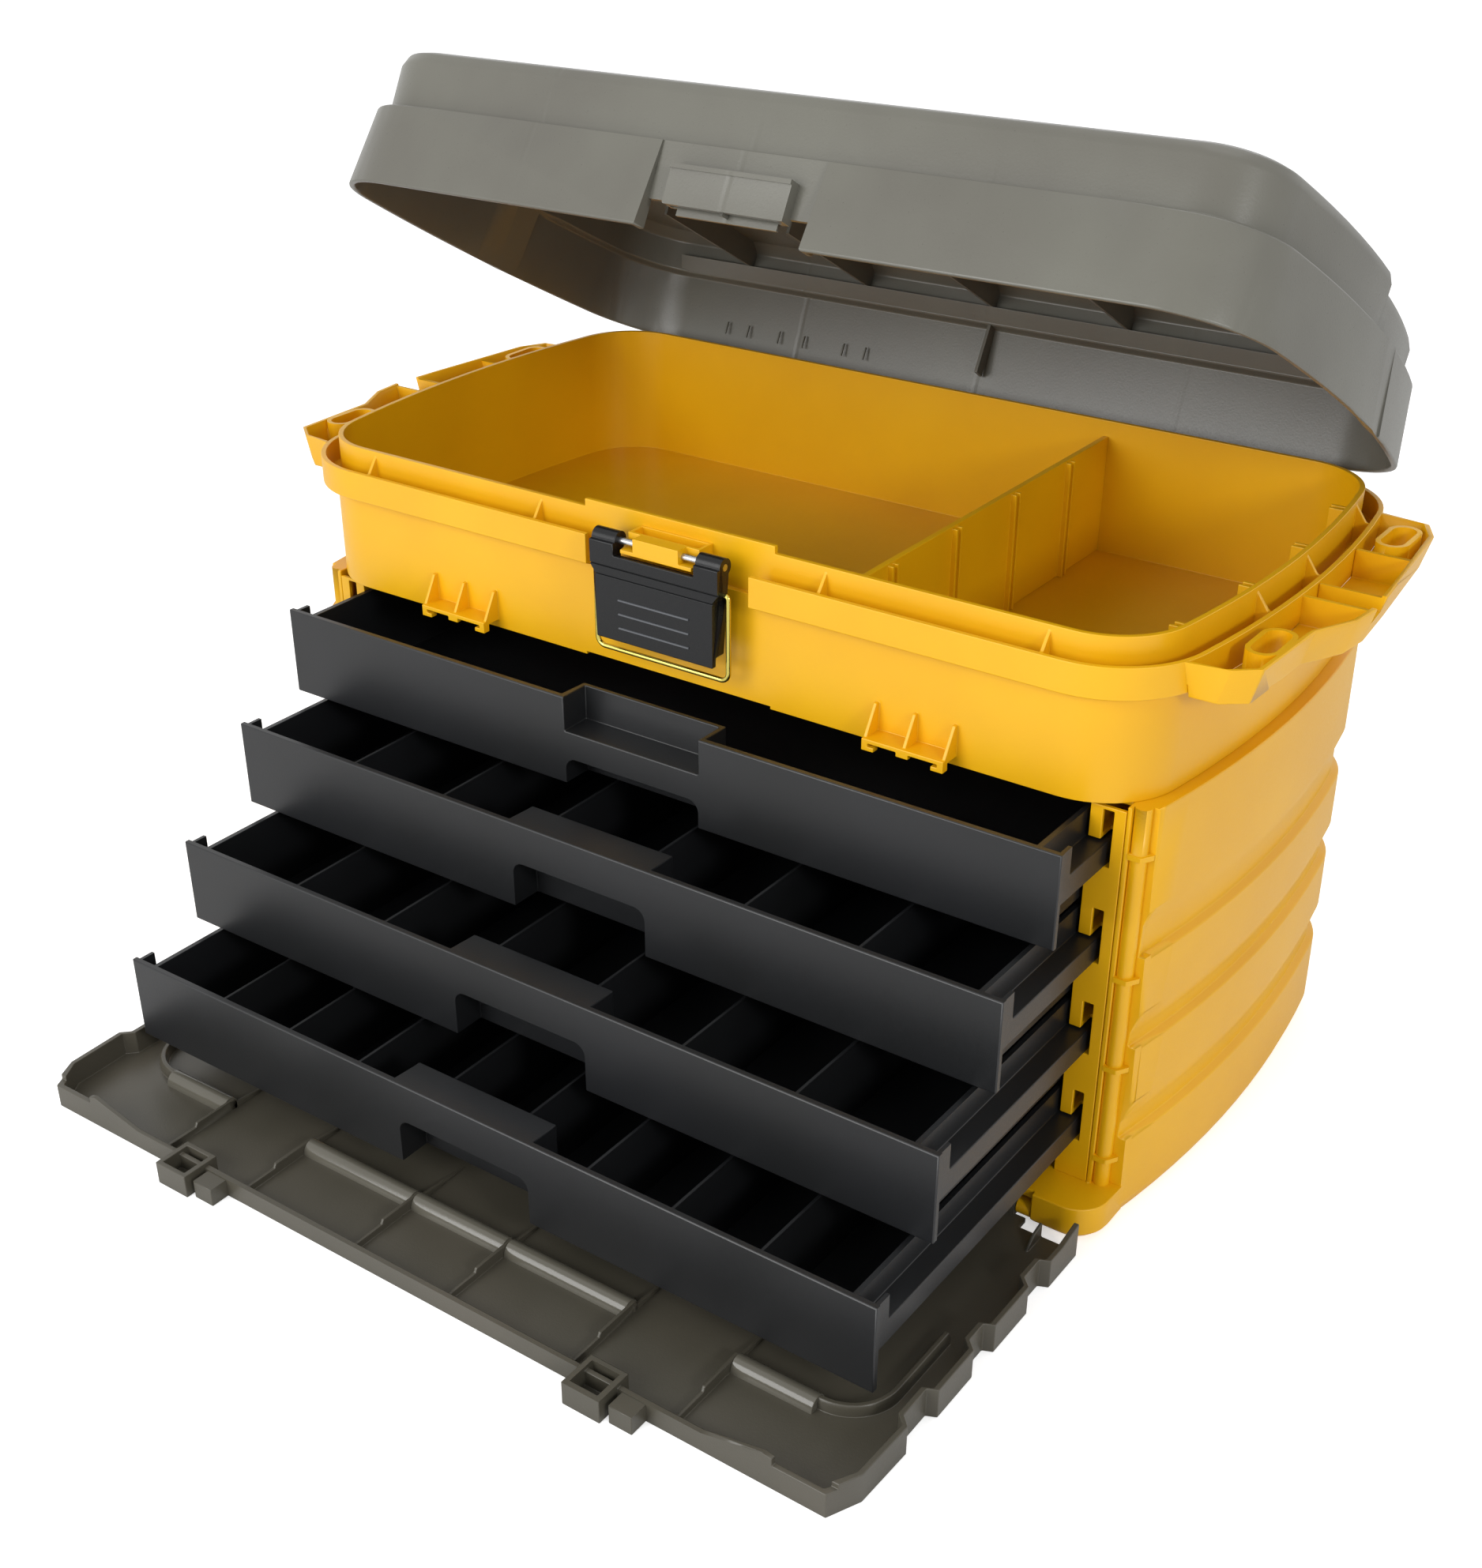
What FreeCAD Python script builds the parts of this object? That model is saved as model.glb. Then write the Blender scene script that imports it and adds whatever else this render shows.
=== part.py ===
import FreeCAD, Part
import math
import os

from FreeCAD import Vector

# Tool chest with a hinged lid, a fold-down front door and four sliding drawers.
# Millimetres, +X to the right, +Y to the back, +Z up.
# The origin lies on the ground under the middle of the case.

# Walls, ribs and fits
WALL = 2.5
RIB_T = 1.6
SEAT_GAP = 0.2
RUN_GAP = 0.06
SLIDE_GAP = 1.0
RAIL_SEAT = 0.3
CUT = 1.0
BITE = 0.5

# Plan of the case: bowed sides that run tangent into rounded corners
HALF_WIDTH = 245.0
HALF_DEPTH = 134.0
CORNER_R = 45.0
BOW_ANGLE = 9.0

# Drawers: one above another, each with a panel, a tray and two rails
DRAWER_OUT = (40.0, 80.5, 125.0, 167.0)
DRAWER_COMPARTMENTS = (1, 7, 7, 9)
PANEL_H = 44.0
PANEL_T = 2.8
PANEL_GAP = 3.0
DRAWER_PITCH = PANEL_H + PANEL_GAP
TRAY_WALL = 2.4
TRAY_DROP = 1.5
RAIL_DROP = 14.0
RAIL_H = 11.0
RAIL_OUT = 10.0
PANEL_OVERHANG = 1.0
FLANGE_OUT = 9.0
FLANGE_H = 25.0
FLANGE_T = 1.8
DIVIDER_T = 1.5
DIVIDER_DROP = 4.0
PULL_HALF = 38.0
PULL_EDGE_R = 6.0
POCKET_DROP = 17.0
POCKET_DEPTH = 16.0
BAR_DROP = 20.0

# Heights of the case, built up from the drawers
BASE_TOP = 18.0
DRAWER_LIFT = 2.0
HEADROOM = 5.0
DRAWER_TOP_Z = BASE_TOP + DRAWER_LIFT + len(DRAWER_OUT) * DRAWER_PITCH - PANEL_GAP
SHELL_TOP = DRAWER_TOP_Z + HEADROOM
TUB_SIDE_H = 49.0
SKIRT_H = 14.0
RIM_H = 9.0
SKIRT_BOTTOM = SHELL_TOP + TUB_SIDE_H
SKIRT_TOP = SKIRT_BOTTOM + SKIRT_H
RIM_TOP = SKIRT_TOP + RIM_H

# Depths of the case
FACE_SETBACK = 15.0
TROUGH_SETBACK = 6.0
BASE_PROUD = 7.0
BACK_ROOM = 24.0
FACE_Y = -HALF_DEPTH + FACE_SETBACK
CABINET_FRONT_Y = FACE_Y + TROUGH_SETBACK
BASE_FRONT_Y = -HALF_DEPTH - BASE_PROUD
GUIDE_BACK_Y = HALF_DEPTH - BACK_ROOM
DRAWER_DEPTH = GUIDE_BACK_Y - FACE_Y

# Widths beside the drawers, from the case inwards
JAMB_W = 23.5
GUIDE_LIP_W = 5.3
RAIL_SIDE_GAP = 2.2
GUIDE_T = 2.0
GUIDE_FACE_HALF_X = HALF_WIDTH - JAMB_W
GROOVE_HALF_X = GUIDE_FACE_HALF_X - GUIDE_LIP_W
RAIL_HALF_W = GROOVE_HALF_X - RAIL_SIDE_GAP
TRAY_HALF_W = RAIL_HALF_W - RAIL_OUT
GUIDE_HALF_X = TRAY_HALF_W + RIB_T
DRAWER_HALF_W = RAIL_HALF_W + PANEL_OVERHANG

# Top tub: skirt, channel for the lid, rim and floor
SKIRT_SLOPE = 3.0
TUB_INSET = 7.0
RIM_INSET = 9.5
CHANNEL_FLOOR_T = 3.0
TUB_FLOOR_T = 4.0
CHANNEL_BOTTOM = SKIRT_BOTTOM + CHANNEL_FLOOR_T
TUB_FLOOR_TOP = SHELL_TOP + TUB_FLOOR_T
TUB_DRAFT = 0.5
HEADER_STEP = 1.4
GUSSET_FRONT_XS = (78.0, 183.0)
GUSSET_SIDE_YS = (-40.0, 10.0, 82.0)
GUSSET_DROP = 1.5
CENTRE_HALF = 52.0
CENTRE_RISE = 3.5
CENTRE_TOP = RIM_TOP + CENTRE_RISE
SKIRT_BREAK_HALF = 44.7

# Fixed wall in the tub, and the slots for a loose divider
PARTITION_X = 84.0
PARTITION_T = 3.0
PARTITION_DROP = 8.0
PARTITION_TOP = RIM_TOP - PARTITION_DROP
SLOT_YS = (-86.0, -31.0, 24.0, 79.0)
SLOT_RIB_OUT = 2.6
SLOT_WIDTH = 2.4
HOLDER_OUT = 9.0
HOLDER_DROP = 4.0
HOLDER_TOP = RIM_TOP - HOLDER_DROP

# Catches for the door, under the header
CATCH_X = 126.5
CATCH_HALF = 20.0
CATCH_SHELF_LIFT = 6.0
CATCH_SHELF_Z = SHELL_TOP + CATCH_SHELF_LIFT
CATCH_SHELF_T = 2.0
CATCH_OUT = 11.0
CATCH_LEG_T = 3.0
CATCH_LEG_D = 4.0
CATCH_HEIGHT = 13.0

# Cabinet walls: shingled bands that lean out towards the ground
CABINET_TOP_INSET = 1.2
CABINET_BASE_INSET = -1.8
SHINGLE_STEP = 3.6
SHINGLE_LEDGE = 1.8
SHINGLE_RUN = 11.0
SHINGLE_TOPS = (44.0, 93.0, 139.0)
SHINGLE_OUTS = (63.0, 110.0, 162.0)
FLANGE_D = 4.5

# Front corners of the cabinet: a trough with a half-round column and four ledges
COLUMN_IN = 18.0
COLUMN_X = HALF_WIDTH - COLUMN_IN
COLUMN_R = 3.7
COLUMN_PROUD = 1.6
TICK_R = 6.3
TICK_H = 2.4
TICK_DROP = 7.5
TOP_TICK_DROP = 21.0
BEAD_W = 2.0

# Base, and the hollow under it
BASE_CORNER_R = 16.0
BASE_EDGE = 4.0
BASE_LIP_T = 4.5
BASE_LIP_SETBACK = 2.7
BASE_LIP_Y = BASE_FRONT_Y + BASE_LIP_SETBACK
BASE_RIB_XS = (-80.0, 0.0, 80.0)
BASE_RIM_W = 12.0

# Side racks: distances out of the case at distances along it
RACK_FRONT_IN = 25.0
RACK_BACK_IN = 36.0
RACK_FRONT_Y = -HALF_DEPTH + RACK_FRONT_IN
RACK_BACK_Y = HALF_DEPTH - RACK_BACK_IN
RACK_STEPS = ((-105.0, 7.0), (-97.0, 17.0), (-50.0, 19.0), (-30.0, 29.0), (-13.0, 31.0),
              (17.0, 28.5), (80.0, 22.0), (94.0, 15.0))
RACK_DEPTH = 16.0
RACK_WALL = 2.2
RACK_ROOT = 6.0
RACK_WEB_YS = (-16.0, 1.0, 48.0)
RACK_OVALS = ((-70.0, 8.5), (72.0, 9.0))
OVAL_L = 30.0
OVAL_W = 15.0
RACK_NOTCH = 7.0

# Latch: flap on a pin, with a wire bail
LATCH_PIN_OUT = 3.0
LATCH_PIN_RISE = 3.0
LATCH_PIN_Y = -HALF_DEPTH - LATCH_PIN_OUT
LATCH_PIN_Z = SKIRT_TOP + LATCH_PIN_RISE
LATCH_PIN_R = 1.6
FLAP_HALF = 35.0
FLAP_H = 46.0
FLAP_T = 3.0
FLAP_OUT = 6.0
FLAP_FOOT_INSET = 8.0
FLAP_SIDE_D = 2.5
BARREL_R = 4.2
BRACKET_HALF = 19.5
EAR_GAP = 2.5
BAIL_PIVOT_DROP = 13.0
BAIL_PIVOT_Z = LATCH_PIN_Z - BAIL_PIVOT_DROP
BAIL_REACH = 40.0
BAIL_WIRE_R = 1.2
BAIL_SIDES = 12
BAIL_SPREAD = 1.6
BAIL_CORNER_R = 4.0
BAIL_TAIL = 6.0
BAIL_BEND_R = 1.5
FLAP_BARS = (6.5, 13.0, 19.0)
FLAP_BAR_HALF = 25.0
FLAP_BAR_T = 1.6
FLAP_BAR_OUT = 0.8
FLAP_GROOVES = (30.0, 34.5)

# Lid, as it lies closed
LID_GAP = 0.5
LID_LOW = SKIRT_TOP + LID_GAP
LID_HINGE_OUT = 4.0
LID_HINGE_DROP = 9.4
LID_HINGE_Y = HALF_DEPTH + LID_HINGE_OUT
LID_HINGE_Z = SKIRT_TOP - LID_HINGE_DROP
LID_OPEN = 28.5
LID_SKIRT_H = 38.5
LID_SHOULDER = SKIRT_TOP + LID_SKIRT_H
LID_SKIRT_LEAN = 4.6
LID_BLOCK_INSET = 10.5
LID_H = 68.0
LID_TOP = SKIRT_TOP + LID_H
LID_TOP_ROUND = 7.5
LID_REAR_DROP = 7.5
LID_REAR_TOP = LID_TOP - LID_REAR_DROP
LID_STEP_Y = 20.0
LID_WALL = 2.5
LID_RECESS_HALF = 42.5
LID_RECESS_DEPTH = 5.5
LID_CENTRE_RISE = 13.5
LID_CENTRE_LOW = SKIRT_TOP + LID_CENTRE_RISE
LID_GROOVE_W = 2.0
LID_GROOVE_D = 0.8
LID_FIN_XS = (62.0, 119.0, 177.0)
LID_FIN_TIP = 21.0
LID_FIN_H = 23.0
LID_KNUCKLE_IN = 95.0
LID_KNUCKLE_X = HALF_WIDTH - LID_KNUCKLE_IN
LID_KNUCKLE_W = 30.0
LID_KNUCKLE_H = 12.0
TUB_KNUCKLE_W = 12.0
LID_PIN_R = 1.6
LID_BARREL_R = 3.6
STRIKE_HALF = 31.0
STRIKE_H = 17.0
STRIKE_RISE = 11.0
STRIKE_BOTTOM = SKIRT_TOP + STRIKE_RISE
STRIKE_TOP = STRIKE_BOTTOM + STRIKE_H
STRIKE_LIP = 1.2
HOOK_HALF = 26.0
HOOK_DROP = 3.0

# Carry handle in the top of the lid
HANDLE_HALF = 75.0
HANDLE_IN = 82.0
HANDLE_Y = -HALF_DEPTH + HANDLE_IN
HANDLE_REACH = 40.0
HANDLE_BAR = 13.0
HANDLE_T = 9.0
HANDLE_ARM = 12.0
HANDLE_DEPTH = 15.0
HANDLE_SINK = 1.5
HANDLE_MARGIN = 5.0
HANDLE_PIN_R = 2.5
HANDLE_ROUND = 3.0

# Front door, as it lies open
DOOR_IN = 12.0
DOOR_HINGE_IN = 5.0
DOOR_HINGE_Z = 6.0
DOOR_NEAR_GAP = 11.0
DOOR_TAIL_GAP = 4.0
DOOR_TOP_GAP = 2.0
DOOR_BEND_IN = 46.0
DOOR_HALF_W = HALF_WIDTH - DOOR_IN
DOOR_HINGE_Y = BASE_FRONT_Y + DOOR_HINGE_IN
DOOR_NEAR_Y = DOOR_HINGE_Y - DOOR_NEAR_GAP
DOOR_TAIL_Y = DOOR_HINGE_Y - DOOR_TAIL_GAP
DOOR_FAR_Y = DOOR_HINGE_Y + DOOR_HINGE_Z - SHELL_TOP + DOOR_TOP_GAP
DOOR_BEND_Y = DOOR_FAR_Y + DOOR_BEND_IN
DOOR_WALL = 2.6
DOOR_LIP_H = 15.0
DOOR_FAR_LIP = 10.0
DOOR_END_LIP = 12.5
DOOR_NOTCH = 4.5
DOOR_BUMP_XS = (200.0, 196.0, 162.0)
DOOR_BUMP_H = 17.0
DOOR_HORN_H = 18.0
DOOR_HORN_W = 8.0
DOOR_WEB_XS = (28.0, 97.0, 151.0)
DOOR_WEB_STEP = 2.0
DOOR_RIDGE_H = 8.0
DOOR_RIDGE_W = 4.0
DOOR_RIDGE_IN = 18.0
DOOR_RIDGE_R = 22.0
DOOR_RIDGE_TAIL = 40.0
DOOR_LATCH_SHIFT = 4.5
DOOR_LATCH_X = CATCH_X - DOOR_LATCH_SHIFT
DOOR_LATCH_HALF = 17.0
DOOR_LATCH_OUT = 12.0
DOOR_LATCH_H = 12.0
DOOR_KNUCKLE_IN = 42.0
DOOR_KNUCKLE_X = DOOR_HALF_W - DOOR_KNUCKLE_IN
DOOR_KNUCKLE_W = 14.0
DOOR_LUG_W = 7.0
DOOR_PIN_R = 1.8


def box(x0, x1, y0, y1, z0, z1):
    """Block between two corners."""
    return Part.makeBox(x1 - x0, y1 - y0, z1 - z0, Vector(x0, y0, z0))


def rod_x(x0, x1, y, z, r):
    """Round bar along X."""
    return Part.makeCylinder(r, x1 - x0, Vector(x0, y, z), Vector(1, 0, 0))


def fuse(shapes):
    """One clean solid or compound of touching shapes."""
    shapes = list(shapes)
    return shapes[0].multiFuse(shapes[1:]).removeSplitter()


def polygon(points):
    """Closed wire through points."""
    return Part.makePolygon([Vector(*p) for p in points] + [Vector(*points[0])])


def prism(points, direction):
    """Polygon pushed along a direction."""
    return Part.Face(polygon(points)).extrude(Vector(*direction))


def plate_x(x, thickness, points):
    """Upright plate across X from (y, z) points, with its middle at x."""
    return prism([(x - thickness / 2, y, z) for y, z in points], (thickness, 0, 0))


def mirrored(shape):
    """Copy on the other side of the middle plane."""
    return shape.mirror(Vector(0, 0, 0), Vector(1, 0, 0))


def both_sides(shape):
    """Shape and its mirror image."""
    return [shape, mirrored(shape)]


def bow_radius():
    """Radius of the bowed side at no inset."""
    return CORNER_R + (HALF_DEPTH - CORNER_R) / math.sin(math.radians(BOW_ANGLE))


def side_x(y, inset=0.0):
    """Half-width of the bowed side at a depth."""
    radius = bow_radius()
    return HALF_WIDTH - radius + math.sqrt((radius - inset) ** 2 - y * y)


def corner_point(inset, sx, sy, angle, z):
    """Point on the rounded corner of the case, at an angle from the X axis."""
    r = CORNER_R - inset
    cx = HALF_WIDTH - bow_radius() + (bow_radius() - CORNER_R) * math.cos(math.radians(BOW_ANGLE))
    cy = HALF_DEPTH - CORNER_R
    return Vector(sx * (cx + r * math.cos(angle)), sy * (cy + r * math.sin(angle)), z)


def corner_arc(inset, sx, sy, z):
    """Rounded corner of the case at a height."""
    start = math.radians(BOW_ANGLE)
    end = math.pi / 2
    points = [corner_point(inset, sx, sy, a, z) for a in (start, (start + end) / 2, end)]
    return Part.Arc(*points).toShape()


def straight(a, b):
    """Straight edge."""
    return Part.LineSegment(a, b).toShape()


def joined(edges):
    """Closed wire of edges given in any order."""
    return Part.Wire(Part.__sortEdges__(edges))


def case_plan(inset, z):
    """Outline of the case at a height, drawn in by an inset."""
    bow = math.radians(BOW_ANGLE)
    edges = [corner_arc(inset, sx, sy, z) for sx in (-1, 1) for sy in (-1, 1)]
    for sy in (-1, 1):
        edges.append(straight(*[corner_point(inset, sx, sy, math.pi / 2, z) for sx in (-1, 1)]))
    for sx in (-1, 1):
        ends = [corner_point(inset, sx, sy, bow, z) for sy in (-1, 1)]
        edges.append(Part.Arc(ends[0], Vector(sx * (HALF_WIDTH - inset), 0, z), ends[1]).toShape())
    return joined(edges)


def cabinet_plan(inset, z):
    """Outline of the drawer cabinet: square front, rounded back corners."""
    front = side_x(CABINET_FRONT_Y, inset)
    bow = math.radians(BOW_ANGLE)
    edges = [straight(Vector(-front, CABINET_FRONT_Y, z), Vector(front, CABINET_FRONT_Y, z)),
             straight(*[corner_point(inset, sx, 1, math.pi / 2, z) for sx in (-1, 1)])]
    for sx in (-1, 1):
        end = corner_point(inset, sx, 1, bow, z)
        middle = Vector(sx * (HALF_WIDTH - inset), 0, z)
        edges.append(Part.Arc(Vector(sx * front, CABINET_FRONT_Y, z), middle, end).toShape())
        edges.append(corner_arc(inset, sx, 1, z))
    return joined(edges)


def block_through(plan, levels):
    """Solid through (height, inset) levels of an outline."""
    return Part.makeLoft([plan(inset, z) for z, inset in levels], True, True)


def turned_lid(shape):
    """Lid piece carried from its closed place to its resting, half-open place."""
    return shape.rotated(Vector(0, LID_HINGE_Y, LID_HINGE_Z), Vector(-1, 0, 0), LID_OPEN)


def top_tub():
    """Upper moulding: skirt, channel, rim, floor, door catches and hinge knuckles."""
    front = -HALF_DEPTH + TUB_INSET
    rim_front = -HALF_DEPTH + RIM_INSET
    body = block_through(case_plan, [(SHELL_TOP, TUB_INSET), (SKIRT_BOTTOM - SKIRT_SLOPE, TUB_INSET),
                                     (SKIRT_BOTTOM, 0.0), (SKIRT_TOP, 0.0)])
    body = body.cut(block_through(case_plan, [(CHANNEL_BOTTOM, WALL), (SKIRT_TOP + CUT, WALL)]))
    body = body.fuse(block_through(case_plan, [(CHANNEL_BOTTOM, RIM_INSET), (RIM_TOP, RIM_INSET)]))
    body = body.cut(box(-SKIRT_BREAK_HALF, SKIRT_BREAK_HALF, -HALF_DEPTH - CUT, front,
                        SHELL_TOP, SKIRT_TOP + CUT))
    panel = box(-CENTRE_HALF, CENTRE_HALF, rim_front, rim_front + WALL + BITE, SKIRT_BOTTOM, CENTRE_TOP)
    body = fuse([body, panel] + channel_gussets())
    body = body.cut(tub_cavity(CENTRE_TOP + CUT))
    body = body.cut(block_through(case_plan, [(SHELL_TOP - CUT, TUB_INSET + WALL),
                                              (TUB_FLOOR_TOP - WALL, TUB_INSET + WALL)]))
    body = body.cut(box(-CENTRE_HALF, CENTRE_HALF, front - CUT, front + WALL + CUT,
                        SHELL_TOP - CUT, SHELL_TOP + HEADER_STEP))
    knuckles = [tub_knuckle(x) for x in tub_knuckle_xs()]
    return fuse([body] + both_sides(door_catch(front)) + knuckles + wall_holders())


def tub_cavity(top):
    """Space inside the tub, with a little draft."""
    inset = RIM_INSET + WALL
    return block_through(case_plan, [(TUB_FLOOR_TOP, inset + TUB_DRAFT), (RIM_TOP, inset), (top, inset)])


def channel_gussets():
    """Thin fins in the channel that stiffen the rim."""
    low = CHANNEL_BOTTOM - BITE
    outer = WALL / 2
    inner = RIM_INSET + BITE
    lid_side = WALL + RIB_T
    tall = RIM_TOP - GUSSET_DROP
    profile = ((outer, low), (inner, low), (inner, tall), (lid_side, SKIRT_TOP - BITE),
               (outer, SKIRT_TOP - CUT))
    fins = []
    for x in GUSSET_FRONT_XS:
        fins += both_sides(plate_x(x, RIB_T, [(-HALF_DEPTH + d, z) for d, z in profile]))
    for y in GUSSET_SIDE_YS:
        points = [(side_x(y, d), y - RIB_T / 2, z) for d, z in profile]
        fins += both_sides(prism(points, (0, RIB_T, 0)))
    return fins


def latch_bracket():
    """Ear in the middle of the front that carries the latch pin."""
    wall_y = -HALF_DEPTH + RIM_INSET
    barrel = rod_x(-BRACKET_HALF, BRACKET_HALF, LATCH_PIN_Y, LATCH_PIN_Z, BARREL_R)
    arm = box(-BRACKET_HALF, BRACKET_HALF, LATCH_PIN_Y, wall_y, LATCH_PIN_Z + BARREL_R - WALL,
              LATCH_PIN_Z + BARREL_R)
    web = box(-WALL / 2, WALL / 2, LATCH_PIN_Y, wall_y, LATCH_PIN_Z - BARREL_R, LATCH_PIN_Z + BARREL_R)
    body = fuse([barrel, arm, web])
    return body.cut(rod_x(-BRACKET_HALF - CUT, BRACKET_HALF + CUT, LATCH_PIN_Y, LATCH_PIN_Z, LATCH_PIN_R))


def door_catch(wall_y):
    """Right-hand catch that the door's latch box snaps over."""
    y0 = wall_y - CATCH_OUT
    y1 = wall_y + CUT
    x0 = CATCH_X - CATCH_HALF
    x1 = CATCH_X + CATCH_HALF
    z = CATCH_SHELF_Z
    foot = SHELL_TOP + BITE
    leg_y = y0 + CATCH_LEG_D
    leg = CATCH_LEG_T
    shelf = box(x0, x1, y0, y1, z - CATCH_SHELF_T, z)
    legs = [box(x0, x0 + leg, y0, leg_y, foot, z), box(x1 - leg, x1, y0, leg_y, foot, z)]
    hooks = [box(x0, x0 + 2 * leg, y0, leg_y, foot, foot + CATCH_SHELF_T),
             box(x1 - 2 * leg, x1, y0, leg_y, foot, foot + CATCH_SHELF_T)]
    nub = box(CATCH_X - leg, CATCH_X + leg, y0, y0 + leg, z - CATCH_LEG_D, z)
    top = z + CATCH_HEIGHT
    profile = [(y0 + CUT, z - CUT), (y1, z - CUT), (y1, top), (y1 - leg, top)]
    webs = [plate_x(x, RIB_T, profile) for x in (x0 + RIB_T / 2, CATCH_X, x1 - RIB_T / 2)]
    return fuse([shelf, nub] + legs + hooks + webs)


def tub_knuckle_xs():
    """Middle of each hinge knuckle on the tub: one each side of every lid knuckle."""
    step = (LID_KNUCKLE_W + TUB_KNUCKLE_W) / 2 + SLIDE_GAP / 2
    return [x + side * step for x in (-LID_KNUCKLE_X, LID_KNUCKLE_X) for side in (-1, 1)]


def tub_knuckle(x):
    """Square hinge knuckle with a round bore on the back of the skirt."""
    half = TUB_KNUCKLE_W / 2
    body = box(x - half, x + half, HALF_DEPTH - CUT, LID_HINGE_Y + LID_BARREL_R,
               LID_HINGE_Z - LID_BARREL_R, LID_HINGE_Z + LID_BARREL_R)
    return body.cut(rod_x(x - half - CUT, x + half + CUT, LID_HINGE_Y, LID_HINGE_Z, LID_PIN_R))


def slot_ribs():
    """Front edge of each rib of the pairs that hold a loose divider."""
    reach = (SLOT_WIDTH + RIB_T) / 2
    return [y + side * reach - RIB_T / 2 for y in SLOT_YS for side in (-1, 1)]


def wall_holders():
    """Ribs on the right wall that take a loose divider."""
    ribs = []
    for y in slot_ribs():
        x = side_x(y, RIM_INSET + WALL)
        ribs.append(box(x - HOLDER_OUT, x + CUT, y, y + RIB_T, TUB_FLOOR_TOP - BITE, HOLDER_TOP))
    return ribs


def tub_partition():
    """Fixed wall between the long bay and the right-hand bay, with divider slots."""
    x1 = PARTITION_X + PARTITION_T
    floor = TUB_FLOOR_TOP - BITE
    plate = box(PARTITION_X, x1, -HALF_DEPTH, HALF_DEPTH, floor, PARTITION_TOP)
    ribs = [box(x1 - BITE, x1 + SLOT_RIB_OUT, y, y + RIB_T, floor, PARTITION_TOP - CUT) for y in slot_ribs()]
    return fuse([plate] + ribs).common(tub_cavity(CENTRE_TOP))


def rack_outline(inset, z):
    """Plan of the right side rack, drawn in by an inset and left open towards the skirt."""
    first = RACK_FRONT_Y + inset
    last = RACK_BACK_Y - inset
    points = [(side_x(first) - RACK_ROOT, first, z)]
    points += [(HALF_WIDTH + out - inset, max(first, min(last, y)), z) for y, out in RACK_STEPS]
    points += [(side_x(last) - RACK_ROOT, last, z)]
    return polygon(points)


def side_rack():
    """Right rack on the skirt, with pockets, oval holes and an open notch for tools."""
    low = SKIRT_TOP - RACK_DEPTH
    far = HALF_WIDTH + HALF_WIDTH
    near = HALF_WIDTH - CORNER_R
    outer = Part.makeLoft([rack_outline(2 * RACK_WALL, low), rack_outline(0.0, SKIRT_TOP)], True, True)
    room = Part.makeLoft([rack_outline(3 * RACK_WALL, low + RACK_WALL),
                          rack_outline(RACK_WALL, SKIRT_TOP + BITE)], True, True)
    fill = [box(near, far, y, y + RACK_WALL, low, SKIRT_TOP - CUT) for y in RACK_WEB_YS]
    fill += [oval(y, out, OVAL_L, OVAL_W, low, SKIRT_TOP) for y, out in RACK_OVALS]
    body = outer.cut(room).fuse(fuse(fill).common(outer))
    for y, out in RACK_OVALS:
        body = body.cut(oval(y, out, OVAL_L - 2 * RACK_WALL, OVAL_W - 2 * RACK_WALL,
                             low - CUT, SKIRT_TOP + CUT))
    notch = box(side_x(0) + RACK_ROOT, far, RACK_WEB_YS[0] + RACK_WALL, RACK_WEB_YS[1],
                SKIRT_TOP - RACK_NOTCH, SKIRT_TOP + CUT)
    case = block_through(case_plan, [(low - CUT, 0.0), (SKIRT_TOP + CUT, 0.0)])
    return body.cut(notch).cut(case).removeSplitter()


def oval(y, out, length, width, z0, z1):
    """Upright bar with an oval plan, long along Y, at a distance out of the case."""
    x = HALF_WIDTH + out
    r = width / 2
    half = length / 2 - r
    ends = [Part.makeCylinder(r, z1 - z0, Vector(x, y + s * half, z0)) for s in (-1, 1)]
    return fuse(ends + [box(x - r, x + r, y - half, y + half, z0, z1)])


def wall_inset(z):
    """Inset of the cabinet walls at a height: they lean out towards the ground."""
    return CABINET_BASE_INSET + (CABINET_TOP_INSET - CABINET_BASE_INSET) * z / SHELL_TOP


def cabinet_levels():
    """Heights and insets of the shingled side walls, from the ground up."""
    edge = BASE_EDGE
    levels = [(0.0, wall_inset(0) + edge), (edge / 2, wall_inset(0) + edge / 2),
              (2 * edge, wall_inset(2 * edge))]
    for top, out_again in zip(SHINGLE_TOPS, SHINGLE_OUTS):
        inner = wall_inset(top) + SHINGLE_STEP
        levels += [(top - SHINGLE_LEDGE, wall_inset(top)), (top, inner), (out_again - SHINGLE_RUN, inner),
                   (out_again, wall_inset(out_again))]
    levels.append((SHELL_TOP, CABINET_TOP_INSET))
    return levels


def cabinet_shell():
    """Shingled case around the drawers, with base, front corners and a top flange."""
    room = CABINET_TOP_INSET + SHINGLE_STEP + WALL
    body = block_through(cabinet_plan, cabinet_levels())
    body = body.cut(block_through(cabinet_plan, [(BASE_TOP, room), (SHELL_TOP + CUT, room)]))
    body = fuse([body, case_flange(), base_front()])
    body = fuse([body] + both_sides(front_jamb()))
    body = fuse([body] + band_ends())
    body = body.cut(base_recess())
    body = fuse([body] + [lug for x in lug_xs() for lug in both_sides(door_lug(x))])
    for side in (-1, 1):
        body = body.cut(door_pin(side))
    return body


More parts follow.
